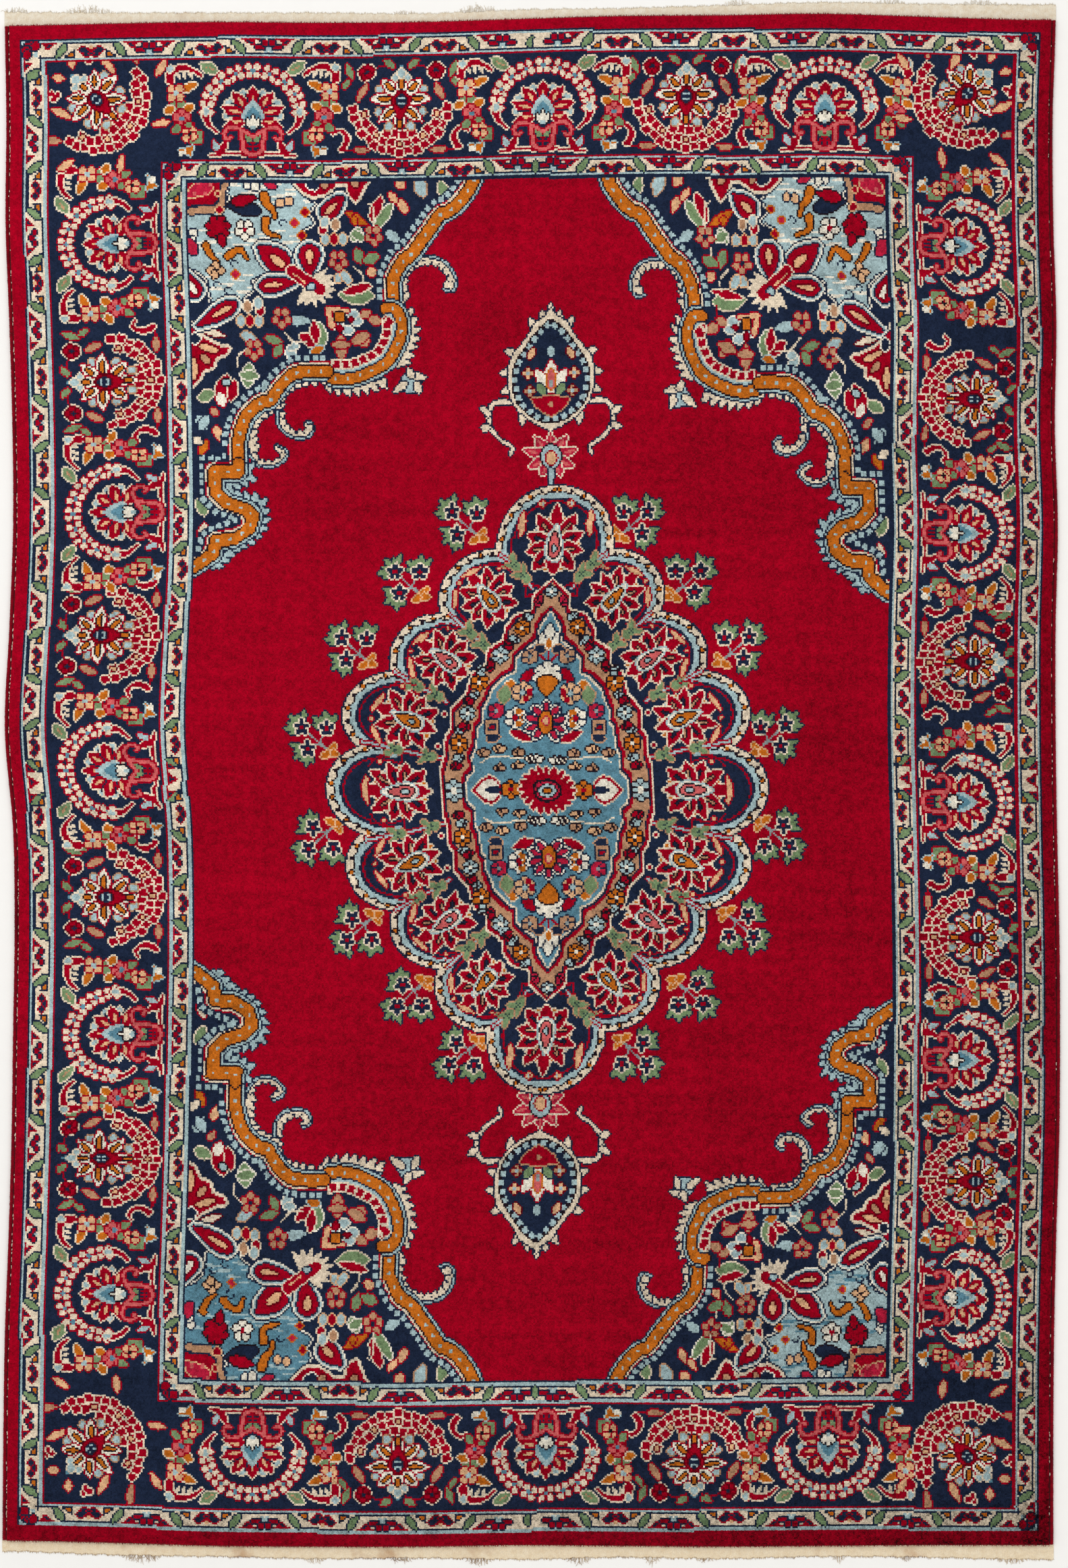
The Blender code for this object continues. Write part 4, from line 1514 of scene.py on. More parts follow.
class Bench:
    """A material's nodes, with short calls for the ones that the finishes share."""

    def __init__(self, name: str) -> None:
        """Starts a material with a cloth-like shader.

        Args:
            name: The material's name.
        """
        self.material = bpy.data.materials.new(name)
        self.material.use_nodes = True
        self.tree = self.material.node_tree
        self.shader = self.tree.nodes["Principled BSDF"]

    def feed(self, socket: Socket, value: Number | Sequence[float] | None) -> None:
        """Links or sets one input.

        Args:
            socket: The input.
            value: A socket or a value; None leaves the input alone.
        """
        if isinstance(value, bpy.types.NodeSocket):
            self.tree.links.new(value, socket)
        elif value is not None:
            socket.default_value = value

    def node(self, kind: str, inputs: dict[int | str, Number | Sequence[float]] | None = None,
            **settings: object) -> bpy.types.Node:
        """Adds a node.

        Args:
            kind: The node's type, without its common prefix.
            inputs: Values or sockets for its inputs, by place or name.
            settings: The node's own options.

        Returns:
            The new node.
        """
        node = self.tree.nodes.new(f"ShaderNode{kind}")
        for name, value in settings.items():
            setattr(node, name, value)
        for key, value in (inputs or {}).items():
            self.feed(node.inputs[key], value)
        return node

    def math(self, operation: str, a: Number, b: Number | None = None, c: Number | None = None) -> Socket:
        """Works out one number.

        Args:
            operation: What to work out.
            a: The first number.
            b: The second.
            c: The third.

        Returns:
            The result.
        """
        node = self.node("Math", operation=operation)
        for place, value in enumerate((a, b, c)):
            self.feed(node.inputs[place], value)
        return node.outputs[0]

    def vector(self, operation: str, a: Socket | Sequence[float], b: Socket | Sequence[float] | None = None,
            scale: Number | None = None) -> Socket:
        """Works out one vector.

        Args:
            operation: What to work out.
            a: The first vector.
            b: The second.
            scale: A number to scale by.

        Returns:
            The result.
        """
        node = self.node("VectorMath", operation=operation)
        self.feed(node.inputs[0], a)
        self.feed(node.inputs[1], b)
        self.feed(node.inputs[3], scale)
        return node.outputs["Value" if operation == "DOT_PRODUCT" else "Vector"]

    def noise(self, place: Socket, scale: float, detail: float = 2.0) -> bpy.types.Node:
        """Adds soft noise."""
        return self.node("TexNoise", {"Vector": place, "Scale": scale, "Detail": detail})

    def spread(self, value: Socket, low: float, high: float, start: float = 0.25,
            end: float = 0.75) -> Socket:
        """Maps a number from one range to another and holds it there.

        Args:
            value: The number.
            low: What it becomes at the start of its range.
            high: What it becomes at the end.
            start: The start of its range.
            end: The end of its range.

        Returns:
            The mapped number.
        """
        ranges = {"From Min": start, "From Max": end, "To Min": low, "To Max": high}
        return self.node("MapRange", {"Value": value, **ranges}).outputs[0]

    def mix(self, share: Number, a: Socket | Sequence[float], b: Socket | Sequence[float]) -> Socket:
        """Mixes two colours.

        Args:
            share: How much of the second colour shows.
            a: The first colour.
            b: The second.

        Returns:
            The mixed colour.
        """
        node = self.node("Mix", data_type="RGBA")
        self.feed(node.inputs[0], share)
        self.feed(node.inputs[6], a)
        self.feed(node.inputs[7], b)
        return node.outputs[2]

    def steps(self, value: Socket, colours: Sequence[Colour]) -> Socket:
        """Turns a whole number into one of a row of colours, with no blending.

        Args:
            value: The whole number.
            colours: The colours, in its order.

        Returns:
            The colour.
        """
        node = self.node("ValToRGB")
        ramp = node.color_ramp
        ramp.interpolation = "CONSTANT"
        while len(ramp.elements) < len(colours):
            ramp.elements.new(0.5)
        for place in range(len(colours)):
            ramp.elements[place].position = place / len(colours)
        for place, colour in enumerate(colours):
            ramp.elements[place].color = linear(colour)
        middle = self.math("DIVIDE", self.math("ADD", value, 0.5), float(len(colours)))
        self.feed(node.inputs[0], middle)
        return node.outputs[0]

    def cloth(self, colour: Socket, roughness: Socket, height: Socket, depth: float, strength: float,
            sheen: float) -> bpy.types.Material:
        """Finishes the material as cloth.

        Args:
            colour: The cloth's colour.
            roughness: Its roughness.
            height: Its relief, from 0 to 1.
            depth: The relief's depth.
            strength: How strongly the relief shows.
            sheen: How much light the fibres' ends catch.

        Returns:
            The material.
        """
        bump = self.node("Bump", {"Height": height, "Distance": depth, "Strength": strength})
        self.feed(self.shader.inputs["Base Color"], colour)
        self.feed(self.shader.inputs["Roughness"], roughness)
        self.feed(self.shader.inputs["Normal"], bump.outputs[0])
        self.shader.inputs["Sheen Weight"].default_value = sheen
        self.shader.inputs["Sheen Roughness"].default_value = 0.45
        self.shader.inputs["Specular IOR Level"].default_value = 0.04
        return self.material


@dataclass(frozen=True)
class KnottedWool:
    """Wool pile whose every knot takes its dye from the chart that the sheet's faces carry."""

    name: str
    raggedness: float = 0.5  # how far a knot's edge strays, in knots
    tuft_tone: float = 0.36  # how much one knot's tone differs from the next
    clump_tone: float = 0.20  # the same for clumps of knots that lean together
    fibre_tone: float = 0.80
    row_tone: float = 0.12  # abrash: how much one row's dye lot differs from the next
    warp_tone: float = 0.07  # the same along the warps, where the pile has been folded and swept
    wear_tone: float = 0.12
    relief: float = 0.9 * MM
    weft: float = 0.0  # how much cotton weft shows between the rows
    weft_colour: Colour = (0.78, 0.70, 0.60)
    brightness: float = 1.0
    fade: tuple[float, float, float] = (-0.00032, -0.00022, 0.0)  # painted light falloff: change of tone per knot, across and down, brighter towards the top left
    soiling: float = 0.22  # painted shade: how much darker the right side and the bottom end are
    # painted shade spans: the axis, then the knots where the darkening starts and ends
    soiled_from: tuple[tuple[int, float, float], ...] = ((0, 556.0, 584.0), (1, 826.0, 852.0))

    def make(self) -> bpy.types.Material:
        """Builds the material.

        Returns:
            The material.
        """
        bench = Bench(self.name)
        place = bench.node("UVMap", uv_map="knots").outputs[0]
        stray = bench.vector("SUBTRACT", bench.noise(place, 0.95, 3.0).outputs["Color"], (0.5, 0.5, 0.5))
        strayed = bench.vector("ADD", place, bench.vector("SCALE", stray, scale=2.0 * self.raggedness))
        dye = self.dye(bench, strayed)
        tone = self.tone(bench, place, strayed)
        colour = bench.vector("SCALE", dye, scale=bench.math("MULTIPLY", tone, self.brightness))
        fibres = bench.noise(place, 2.6, 2.0).outputs[0]
        height = bench.math("ADD", bench.math("MULTIPLY", fibres, 0.6), bench.math("MULTIPLY", tone, 0.4))
        if self.weft:
            rows = bench.node("SeparateXYZ", {0: place}).outputs[1]
            ridge = bench.math("ABSOLUTE", bench.math("SINE", bench.math("MULTIPLY", rows, math.pi)))
            height = bench.math("ADD", height, bench.math("MULTIPLY", ridge, 0.8))
            gap = bench.spread(ridge, self.weft, 0.0, 0.0, 0.4)
            colour = bench.mix(gap, colour, linear(self.weft_colour))
        roughness = bench.spread(fibres, 0.84, 1.0)
        return bench.cloth(colour, roughness, height, self.relief, 0.55, 0.04)

    def dye(self, bench: Bench, strayed: Socket) -> Socket:
        """Reads the chart: finds the knot in its block of six by six and the wool that it holds.

        Args:
            bench: The material's nodes.
            strayed: The place on the chart, in knots, after its edge has strayed.

        Returns:
            The wool's colour.
        """
        block = bench.node("Attribute", attribute_name="block").outputs["Vector"]
        local = bench.vector("ADD", bench.vector("SUBTRACT", strayed, block), (1.0, 1.0, 0.0))
        local = bench.vector("MAXIMUM", bench.vector("MINIMUM", local, (5.99, 5.99, 0.0)), (0.01, 0.01, 0.0))
        where = bench.node("SeparateXYZ", {0: bench.vector("FLOOR", local)})
        column, row = where.outputs[0], where.outputs[1]
        packed: Number = 0.0
        for part, first in (("rows_near", 0), ("rows_far", 3)):
            rows = bench.node("SeparateXYZ",
                {0: bench.node("Attribute", attribute_name=part).outputs["Vector"]})
            for offset in range(3):
                here = bench.math("COMPARE", row, float(first + offset), 0.5)
                packed = bench.math("MULTIPLY_ADD", rows.outputs[offset], here, packed)
        power = bench.math("ROUND", bench.math("POWER", 16.0, column))
        digit = bench.math("MODULO", bench.math("FLOOR", bench.math("DIVIDE", packed, power)), 16.0)
        return bench.steps(digit, [wool.value[1] for wool in Wool])

    def tone(self, bench: Bench, place: Socket, strayed: Socket) -> Socket:
        """Varies the tone from knot to knot, from fibre to fibre and from row to row, and paints light
        falling off across the rug, darker still at its right side and bottom end.

        Args:
            bench: The material's nodes.
            place: The place on the chart, in knots.
            strayed: The same place after its edge has strayed.

        Returns:
            The tone, about 1.
        """
        knot = bench.node("TexWhiteNoise", {"Vector": bench.vector("FLOOR", strayed)}, noise_dimensions="2D")
        tuft = bench.math("MULTIPLY", bench.math("SUBTRACT", knot.outputs["Value"], 0.5), self.tuft_tone)
        fibre = bench.spread(bench.noise(place, 2.1, 3.0).outputs[0], -self.fibre_tone / 2, self.fibre_tone
            / 2)
        varied = bench.math("ADD", tuft, fibre)
        even = (1.0, 1.0, 0.0)
        for stretch, scale, depth in (((0.006, 0.09, 0.0), 1.0, self.row_tone),
                ((0.11, 0.004, 0.0), 1.0, self.warp_tone), (even, 0.21, self.clump_tone),
                (even, 0.014, self.wear_tone)):
            along = bench.vector("MULTIPLY", place, stretch)
            patch = bench.spread(bench.noise(along, scale, 4.0).outputs[0], -depth, depth)
            varied = bench.math("ADD", varied, patch)
        # painted light: the tone falls off evenly across and down the rug, brighter at its top left
        fade = bench.vector("DOT_PRODUCT", place, self.fade)
        sides = bench.node("SeparateXYZ", {0: place})
        # painted shade: darker still over the last knots of the right side and the bottom end
        for side, shade_start, last in self.soiled_from:
            fade = bench.math("ADD", fade, bench.spread(sides.outputs[side], 0.0, -self.soiling, shade_start,
                last))
        return bench.math("ADD", bench.math("ADD", varied, 1.02), fade)


@dataclass(frozen=True)
class PlainYarn:
    """Yarn of one dye or none, uneven along its length, with fibres and a stain where it has been handled."""

    name: str
    colour: Colour
    shade: Colour
    stain: Colour
    stained: float  # share of the yarn that the stain reaches
    fibre_scale: float = 900.0  # scales of the noises, each for one metre
    length_scale: float = 160.0
    stain_scale: float = 14.0
    sheen: float = 0.2

    def make(self) -> bpy.types.Material:
        """Builds the material.

        Returns:
            The material.
        """
        bench = Bench(self.name)
        place = bench.node("TexCoord").outputs["Object"]
        fibres = bench.noise(place, self.fibre_scale, 3.0).outputs[0]
        lengths = bench.noise(place, self.length_scale, 3.0).outputs[0]
        stains = bench.noise(place, self.stain_scale, 4.0).outputs[0]
        yarn = bench.mix(bench.spread(lengths, 0.0, 1.0, 0.3, 0.7), linear(self.colour), linear(self.shade))
        start = 0.72 - 0.4 * self.stained
        marked = bench.mix(bench.spread(stains, 0.0, 0.85, start, start + 0.16), yarn, linear(self.stain))
        colour = bench.vector("SCALE", marked, scale=bench.spread(fibres, 0.82, 1.12))
        roughness = bench.spread(fibres, 0.82, 1.0)
        return bench.cloth(colour, roughness, fibres, 0.25 * MM, 0.5, self.sheen)


@dataclass(frozen=True)
class StudioFloor:
    """The plain pale floor's finish."""

    colour: Colour = (0.978, 0.974, 0.962)
    grain_scale: float = 60.0

    def make(self) -> bpy.types.Material:
        """Builds the material.

        Returns:
            The material.
        """
        bench = Bench("pale studio floor")
        place = bench.node("TexCoord").outputs["Object"]
        grain = bench.noise(place, self.grain_scale, 3.0).outputs[0]
        colour = bench.vector("SCALE", linear(self.colour)[:3], scale=bench.spread(grain, 0.99, 1.01))
        roughness = bench.spread(grain, 0.8, 0.9)
        return bench.cloth(colour, roughness, grain, 0.05 * MM, 0.1, 0.0)


class SideStation(NamedTuple):
    """Where the rug's two outer side edges lie, in mm from the middle line, at one place along it."""

    along: float
    left: float
    right: float


class EndStation(NamedTuple):
    """Where the pile and the flat weave end, in mm from the middle, at one place across the rug."""

    across: float
    pile_bottom: float
    pile_top: float
    kelim_bottom: float
    kelim_top: float


UNDERSIDE = 0.05 * MM  # how far the rug's back clears the floor's zero

SIDE_STATIONS = tuple(SideStation(*row) for row in ((-1010, -706, 698), (-875, -705, 698), (-740, -703, 699),
    (-605, -698, 702), (-470, -694, 706), (-335, -692, 707), (-200, -690, 706), (-65, -692, 703),
    (70, -703, 701), (205, -697, 701), (340, -692, 704), (475, -693, 700), (610, -697, 702), (745, -702, 698),
    (880, -701, 697), (1015, -703, 701)))

END_STATIONS = tuple(EndStation(*row) for row in ((-690, -1013, 1008, -1029, 1028),
    (-555, -1016, 1011, -1034, 1027), (-420, -1020, 1013, -1036, 1027), (-285, -1021, 1012, -1039, 1027),
    (-150, -1021, 1013, -1038, 1026), (-15, -1019, 1017, -1040, 1031), (120, -1020, 1021, -1037, 1033),
    (255, -1021, 1022, -1039, 1037), (390, -1020, 1024, -1036, 1041), (525, -1019, 1020, -1037, 1039),
    (660, -1019, 1016, -1040, 1038)))


class Edge(Enum):
    """An edge of the rug."""

    @property
    def word(self) -> str:
        """Gives the edge's name in lower case."""
        return self.name.lower()


class RugEnd(Edge):
    """The rug's two ends, by the way that each faces along Y."""

    TOP = 1
    BOTTOM = -1


class RugSide(Edge):
    """The rug's two sides, by the way that the inside of the rug lies along X."""

    LEFT = 1
    RIGHT = -1


@dataclass(frozen=True)
class Outline:
    """The rug's wavy plan: its side edges, the ends of the pile and the ends of the flat weave."""

    selvedge_width: float = 6.0 * MM
    gap: float = 0.3 * MM
    pile_thickness: float = 9.5 * MM
    unevenness: float = 0.35 * MM
    middle: tuple[float, float] = (0.0, 0.0)  # what the CAD took off each point to centre the rug

    def read(self, table: Sequence[NamedTuple], key: str, column: str, place: np.ndarray) -> np.ndarray:
        """Reads one column of a station table at places between its rows, along a smooth curve.

        Args:
            table: The stations.
            key: The column that says where each station lies.
            column: The column to read.
            place: Where to read it.

        Returns:
            The values there.
        """
        places = np.array([getattr(row, key) for row in table]) * MM
        values = np.array([getattr(row, column) for row in table]) * MM
        padded = np.concatenate([values[:1], values, values[-1:]])
        held = np.clip(place, places[0], places[-1])
        row = np.clip(np.searchsorted(places, held, side="right") - 1, 0, len(places) - 2)
        share = (held - places[row]) / (places[row + 1] - places[row])
        before, start, end, after = padded[row], padded[row + 1], padded[row + 2], padded[row + 3]
        square, cube = share ** 2, share ** 3
        return (start * (2 * cube - 3 * square + 1) + (end - before) / 2 * (cube - 2 * square + share) + end
            * (3 * square - 2 * cube) + (after - start) / 2 * (cube - square))

    def side(self, side: RugSide, along: np.ndarray) -> np.ndarray:
        """Gives the x of an outer side edge."""
        return self.read(SIDE_STATIONS, "along", side.word, along)

    def end(self, part: str, end: RugEnd, across: np.ndarray) -> np.ndarray:
        """Gives the y of an end line, part being pile or kelim."""
        return self.read(END_STATIONS, "across", f"{part}_{end.word}", across)

    def fabric(self, across: np.ndarray, along: np.ndarray) -> tuple[np.ndarray, np.ndarray]:
        """Places points of the pile.

        Args:
            across: Each point's share of the width, from 0 at the left.
            along: Its share of the length, from 0 at the bottom.

        Returns:
            The points' x and y before centring.
        """
        inset = self.selvedge_width + self.gap
        y = (along - 0.5) * 2.0
        x = across - 0.5
        for _ in range(4):
            left = self.side(RugSide.LEFT, y) + inset
            x = left + (self.side(RugSide.RIGHT, y) - inset - left) * across
            bottom = self.end("pile", RugEnd.BOTTOM, x)
            y = bottom + (self.end("pile", RugEnd.TOP, x) - bottom) * along
        return x, y

    def height(self, x: np.ndarray, y: np.ndarray) -> np.ndarray:
        """Gives the height of the clipped pile, which rises and dips a little in long soft waves."""
        wave = np.sin(x * 9.1 + y * 3.3) + np.sin(y * 7.7 - x * 2.1 + 1.3)
        return self.pile_thickness + self.unevenness * 0.5 * wave

    def centred(self) -> "Outline":
        """Gives the same outline shifted so that its pile lies over the CAD pile.

        Returns:
            The shifted outline.
        """
        rim = np.linspace(0, 1, 200)
        ends = np.concatenate([np.zeros(200), np.ones(200)])
        x, _ = self.fabric(ends, np.tile(rim, 2))
        _, y = self.fabric(np.tile(rim, 2), ends)
        low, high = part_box("pile")
        middle = ((x.min() + x.max() - low.x - high.x) / 2, (y.min() + y.max() - low.y - high.y) / 2)
        return Outline(self.selvedge_width, self.gap, self.pile_thickness, self.unevenness, middle)


def new_piece(name: str, points: np.ndarray, faces: Sequence[Sequence[int]],
        materials: Sequence[bpy.types.Material], crease: float = 180.0) -> bpy.types.Object:
    """Makes one smooth-shaded piece of the rug.

    Args:
        name: The piece's name.
        points: Its points, one row each.
        faces: Its faces, as lists of point numbers.
        materials: Its finishes.
        crease: The angle, in degrees, past which an edge stays sharp.

    Returns:
        The piece.
    """
    mesh = bpy.data.meshes.new(name)
    mesh.from_pydata(points.tolist(), [], faces)
    mesh.polygons.foreach_set("use_smooth", np.full(len(mesh.polygons), True))
    for material in materials:
        mesh.materials.append(material)
    mesh.update()
    mesh.set_sharp_from_angle(angle=math.radians(crease))
    piece = bpy.data.objects.new(name, mesh)
    bpy.context.scene.collection.objects.link(piece)
    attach(piece, "root")
    return piece


class Threads:
    """Collects many short threads, each a thin tube with three sides that ends in a point."""

    def __init__(self) -> None:
        """Starts with no threads."""
        self.points: list[np.ndarray] = []
        self.faces: list[np.ndarray] = []
        self.count = 0

    def add(self, line: np.ndarray, thickness: float, taper: float = 0.25, low: float = 0.15 * MM) -> None:
        """Adds one thread.

        Args:
            line: The thread's middle line, one row for each point.
            thickness: Its thickness at the root.
            taper: Its thickness at the tip, as a share of that.
            low: The lowest height that any of it may have.
        """
        run = np.gradient(line, axis=0)
        run /= np.linalg.norm(run, axis=1)[:, None] + 1e-12
        aside = np.cross(run, (0.0, 0.0, 1.0))
        aside /= np.linalg.norm(aside, axis=1)[:, None] + 1e-9
        up = np.cross(aside, run)
        radius = thickness / 2 * np.linspace(1.0, taper, len(line))[:, None]
        ring = []
        for turn in (0.5 * math.pi, 1.1667 * math.pi, 1.8333 * math.pi):
            ring.append(line + radius * (math.cos(turn) * aside + math.sin(turn) * up))
        points = np.stack(ring, axis=1).reshape(-1, 3)
        points[:, 2] = np.maximum(points[:, 2], low)
        steps = len(line) - 1
        base = np.arange(steps)[:, None] * 3
        corner = np.arange(3)
        nearby, after = base + corner, base + (corner + 1) % 3
        faces = np.stack([nearby, after, after + 3, nearby + 3], axis=2).reshape(-1, 4) + self.count
        caps = np.array([[2, 1, 0, 0], [3 * steps, 3 * steps + 1, 3 * steps + 2, 3 * steps + 2]]) + self.count
        self.points.append(points)
        self.faces.append(np.concatenate([faces, caps]))
        self.count += len(points)

    def make(self, name: str, material: bpy.types.Material, slot: str) -> bpy.types.Object:
        """Makes the threads into one piece."""
        faces = [face[:3] if face[3] == face[2] else face for face in np.concatenate(self.faces).tolist()]
        return new_piece(name, np.concatenate(self.points), faces, [material])


@dataclass(frozen=True)
class PileSheet:
    """The knotted body: one sheet with its chart on its face and, paler, on its back."""

    outline: Outline
    chart: Chart
    block: int = 4  # knots along one side of a face
    shoulder: tuple[tuple[float, float], ...] = ((0.0, 2.3 * MM), (0.35, 0.9 * MM), (1.3, 0.0))
    face_share: float = 0.685  # how much of the OFBake map the face takes, across
    back_from: float = 0.70
    back_share: tuple[float, float] = (0.298, 0.435)  # what the back takes, across and up

    def make(self) -> bpy.types.Object:
        """Builds the sheet's face, back and rim as one closed mesh.

        Returns:
            The piece.
        """
        columns, rows = self.chart.columns, self.chart.rows
        right, down = self.cuts(columns), self.cuts(rows)
        face_points, face_quads, face_knots, face_blocks = self.layer(right, down, True)
        plain_right, plain_down = np.arange(0, columns + 1, self.block), np.arange(0, rows + 1, self.block)
        back_points, back_quads, back_knots, back_blocks = self.layer(plain_right, plain_down, False)
        start = len(face_points)
        rim = self.rim(len(right), len(down), len(plain_right), len(plain_down), right, down, start)
        points = np.concatenate([face_points, back_points])
        quads = face_quads.tolist() + (back_quads + start)[:, ::-1].tolist() + rim
        back = KnottedWool("knotted wool back", raggedness=0.16, tuft_tone=0.14, fibre_tone=0.16, relief=0.35
            * MM, weft=0.5, brightness=0.92)
        finishes = [KnottedWool("knotted wool pile").make(), back.make()]
        piece = new_piece("knotted_pile", points, quads, finishes, 60)
        mesh = piece.data
        knots = np.concatenate([face_knots, back_knots])
        loops = np.zeros(len(mesh.loops), dtype=np.int32)
        mesh.loops.foreach_get("vertex_index", loops)
        mesh.uv_layers.new(name="knots").uv.foreach_set("vector", knots[loops].ravel().astype(np.float32))
        self.bake_map(mesh, knots[loops], len(face_quads) * 4)
        blocks = np.concatenate([face_blocks, back_blocks, self.rim_blocks(rim, knots)])
        self.write_chart(mesh, blocks)
        sides = np.zeros(len(mesh.polygons), dtype=np.int32)
        sides[len(face_quads):len(face_quads) + len(back_quads)] = 1
        mesh.polygons.foreach_set("material_index", sides)
        return piece

    def cuts(self, count: int) -> np.ndarray:
        """Divides a run of knots into blocks, with extra cuts where the shoulder rounds off.

        Args:
            count: How many knots the run has.

        Returns:
            Where the cuts lie, in knots.
        """
        edge = [cut for cut, _ in self.shoulder]
        return np.array([*edge, *range(self.block, count - self.block + 1, self.block),
            *[count - cut for cut in reversed(edge)]], dtype=float)

    def layer(self, right: np.ndarray, down: np.ndarray, face: bool) -> tuple[np.ndarray, ...]:
        """Builds one layer of the sheet.

        Args:
            right: Where the columns of points lie, in knots.
            down: Where the rows lie.
            face: Whether this is the pile's face, not its back.

        Returns:
            The points, the quads, each point's place in knots, and each quad's block.
        """
        across, along = np.meshgrid(right, down)
        x, y = self.outline.fabric(across / self.chart.columns, 1 - along / self.chart.rows)
        z = np.full(x.shape, UNDERSIDE)
        if face:
            z = self.outline.height(x, y)
            cut, drop = zip(*self.shoulder)
            inward = np.minimum(np.minimum(across, self.chart.columns - across),
                np.minimum(along, self.chart.rows - along))
            z -= np.interp(inward, cut, drop)
        points = np.stack([x - self.outline.middle[0], y - self.outline.middle[1], z], axis=-1).reshape(-1, 3)
        i, j = np.meshgrid(np.arange(len(right) - 1), np.arange(len(down) - 1))
        corner = (j * len(right) + i).ravel()
        quads = np.stack([corner, corner + len(right), corner + len(right) + 1, corner + 1], axis=1)
        middle_x = ((right[:-1] + right[1:]) / 2 // self.block)[i.ravel()]
        middle_y = ((down[:-1] + down[1:]) / 2 // self.block)[j.ravel()]
        blocks = np.stack([middle_x, middle_y], axis=1).astype(int)
        return points, quads, np.stack([across, along], axis=-1).reshape(-1, 2), blocks

    def rim(self, face_wide: int, face_long: int, back_wide: int, back_long: int, right: np.ndarray,
            down: np.ndarray, start: int) -> list[list[int]]:
        """Joins the face's edge to the back's, one face for each cut of the back.

        Args:
            face_wide: Points across the face.
            face_long: Points along it.
            back_wide: Points across the back.
            back_long: Points along it.
            right: Where the face's columns of points lie, in knots.
            down: Where its rows lie.
            start: The number of the back's first point.

        Returns:
            The rim's faces.
        """
        faces = []
        for end in (0, 1):
            rows = [[end * (face_long - 1) * face_wide + i for i in range(face_wide)],
                [start + end * (back_long - 1) * back_wide + i for i in range(back_wide)]]
            sides = [[i * face_wide + end * (face_wide - 1) for i in range(face_long)],
                [start + i * back_wide + end * (back_wide - 1) for i in range(back_long)]]
            for (upper, lower), cuts, flip in ((rows, right, not end), (sides, down, bool(end))):
                for i in range(len(lower) - 1):
                    inside = (cuts >= i * self.block) & (cuts <= (i + 1) * self.block)
                    edge = [upper[k] for k in np.flatnonzero(inside)]
                    ring = [lower[i], *edge, lower[i + 1]]
                    faces.append(ring if flip else ring[::-1])
        return faces

    def rim_blocks(self, rim: list[list[int]], knots: np.ndarray) -> np.ndarray:
        """Finds the block of the chart that each face of the rim belongs to.

        Args:
            rim: The rim's faces.
            knots: Each point's place on the chart.

        Returns:
            Each face's block.
        """
        middles = np.array([knots[ring].mean(axis=0) for ring in rim])
        last = np.array([self.chart.columns, self.chart.rows]) // self.block - 1
        return np.minimum(middles // self.block, last).astype(int)

    def bake_map(self, mesh: bpy.types.Mesh, knots: np.ndarray, face_loops: int) -> None:
        """Lays the face over most of the OFBake map and the back over the rest.

        Args:
            mesh: The sheet's mesh.
            knots: Each corner's place on the chart.
            face_loops: How many corners belong to the face.
        """
        share = knots / (self.chart.columns, self.chart.rows)
        laid = np.stack([share[:, 0] * self.face_share, 1 - share[:, 1]], axis=1)
        laid[face_loops:, 0] = self.back_from + share[face_loops:, 0] * self.back_share[0]
        laid[face_loops:, 1] = (1 - share[face_loops:, 1]) * self.back_share[1]
        mesh.uv_layers.new(name="OFBake").uv.foreach_set("vector", laid.ravel().astype(np.float32))

    def write_chart(self, mesh: bpy.types.Mesh, blocks: np.ndarray) -> None:
        """Writes on each face its block's place and its knots, one number for each row of six.

        Args:
            mesh: The sheet's mesh.
            blocks: Each face's block.
        """
        padded = np.pad(self.chart.knots, 1, mode="edge").astype(np.int64)
        reach = self.block + 2
        weights = 16 ** np.arange(reach)
        packed = np.zeros((len(blocks), reach))
        for row in range(reach):
            for column in range(reach):
                wool = padded[blocks[:, 1] * self.block + row, blocks[:, 0] * self.block + column]
                packed[:, row] += wool * weights[column]
        origin = np.concatenate([blocks * self.block, np.zeros((len(blocks), 1))], axis=1)
        for name, values in (("block", origin), ("rows_near", packed[:, :3]), ("rows_far", packed[:, 3:])):
            layer = mesh.attributes.new(name, "FLOAT_VECTOR", "FACE")
            layer.data.foreach_set("vector", values.astype(np.float32).ravel())


@dataclass(frozen=True)
class Tuft:
    """A place on an end where the warps have frayed longer, in mm."""

    across: float
    spread: float
    length: float


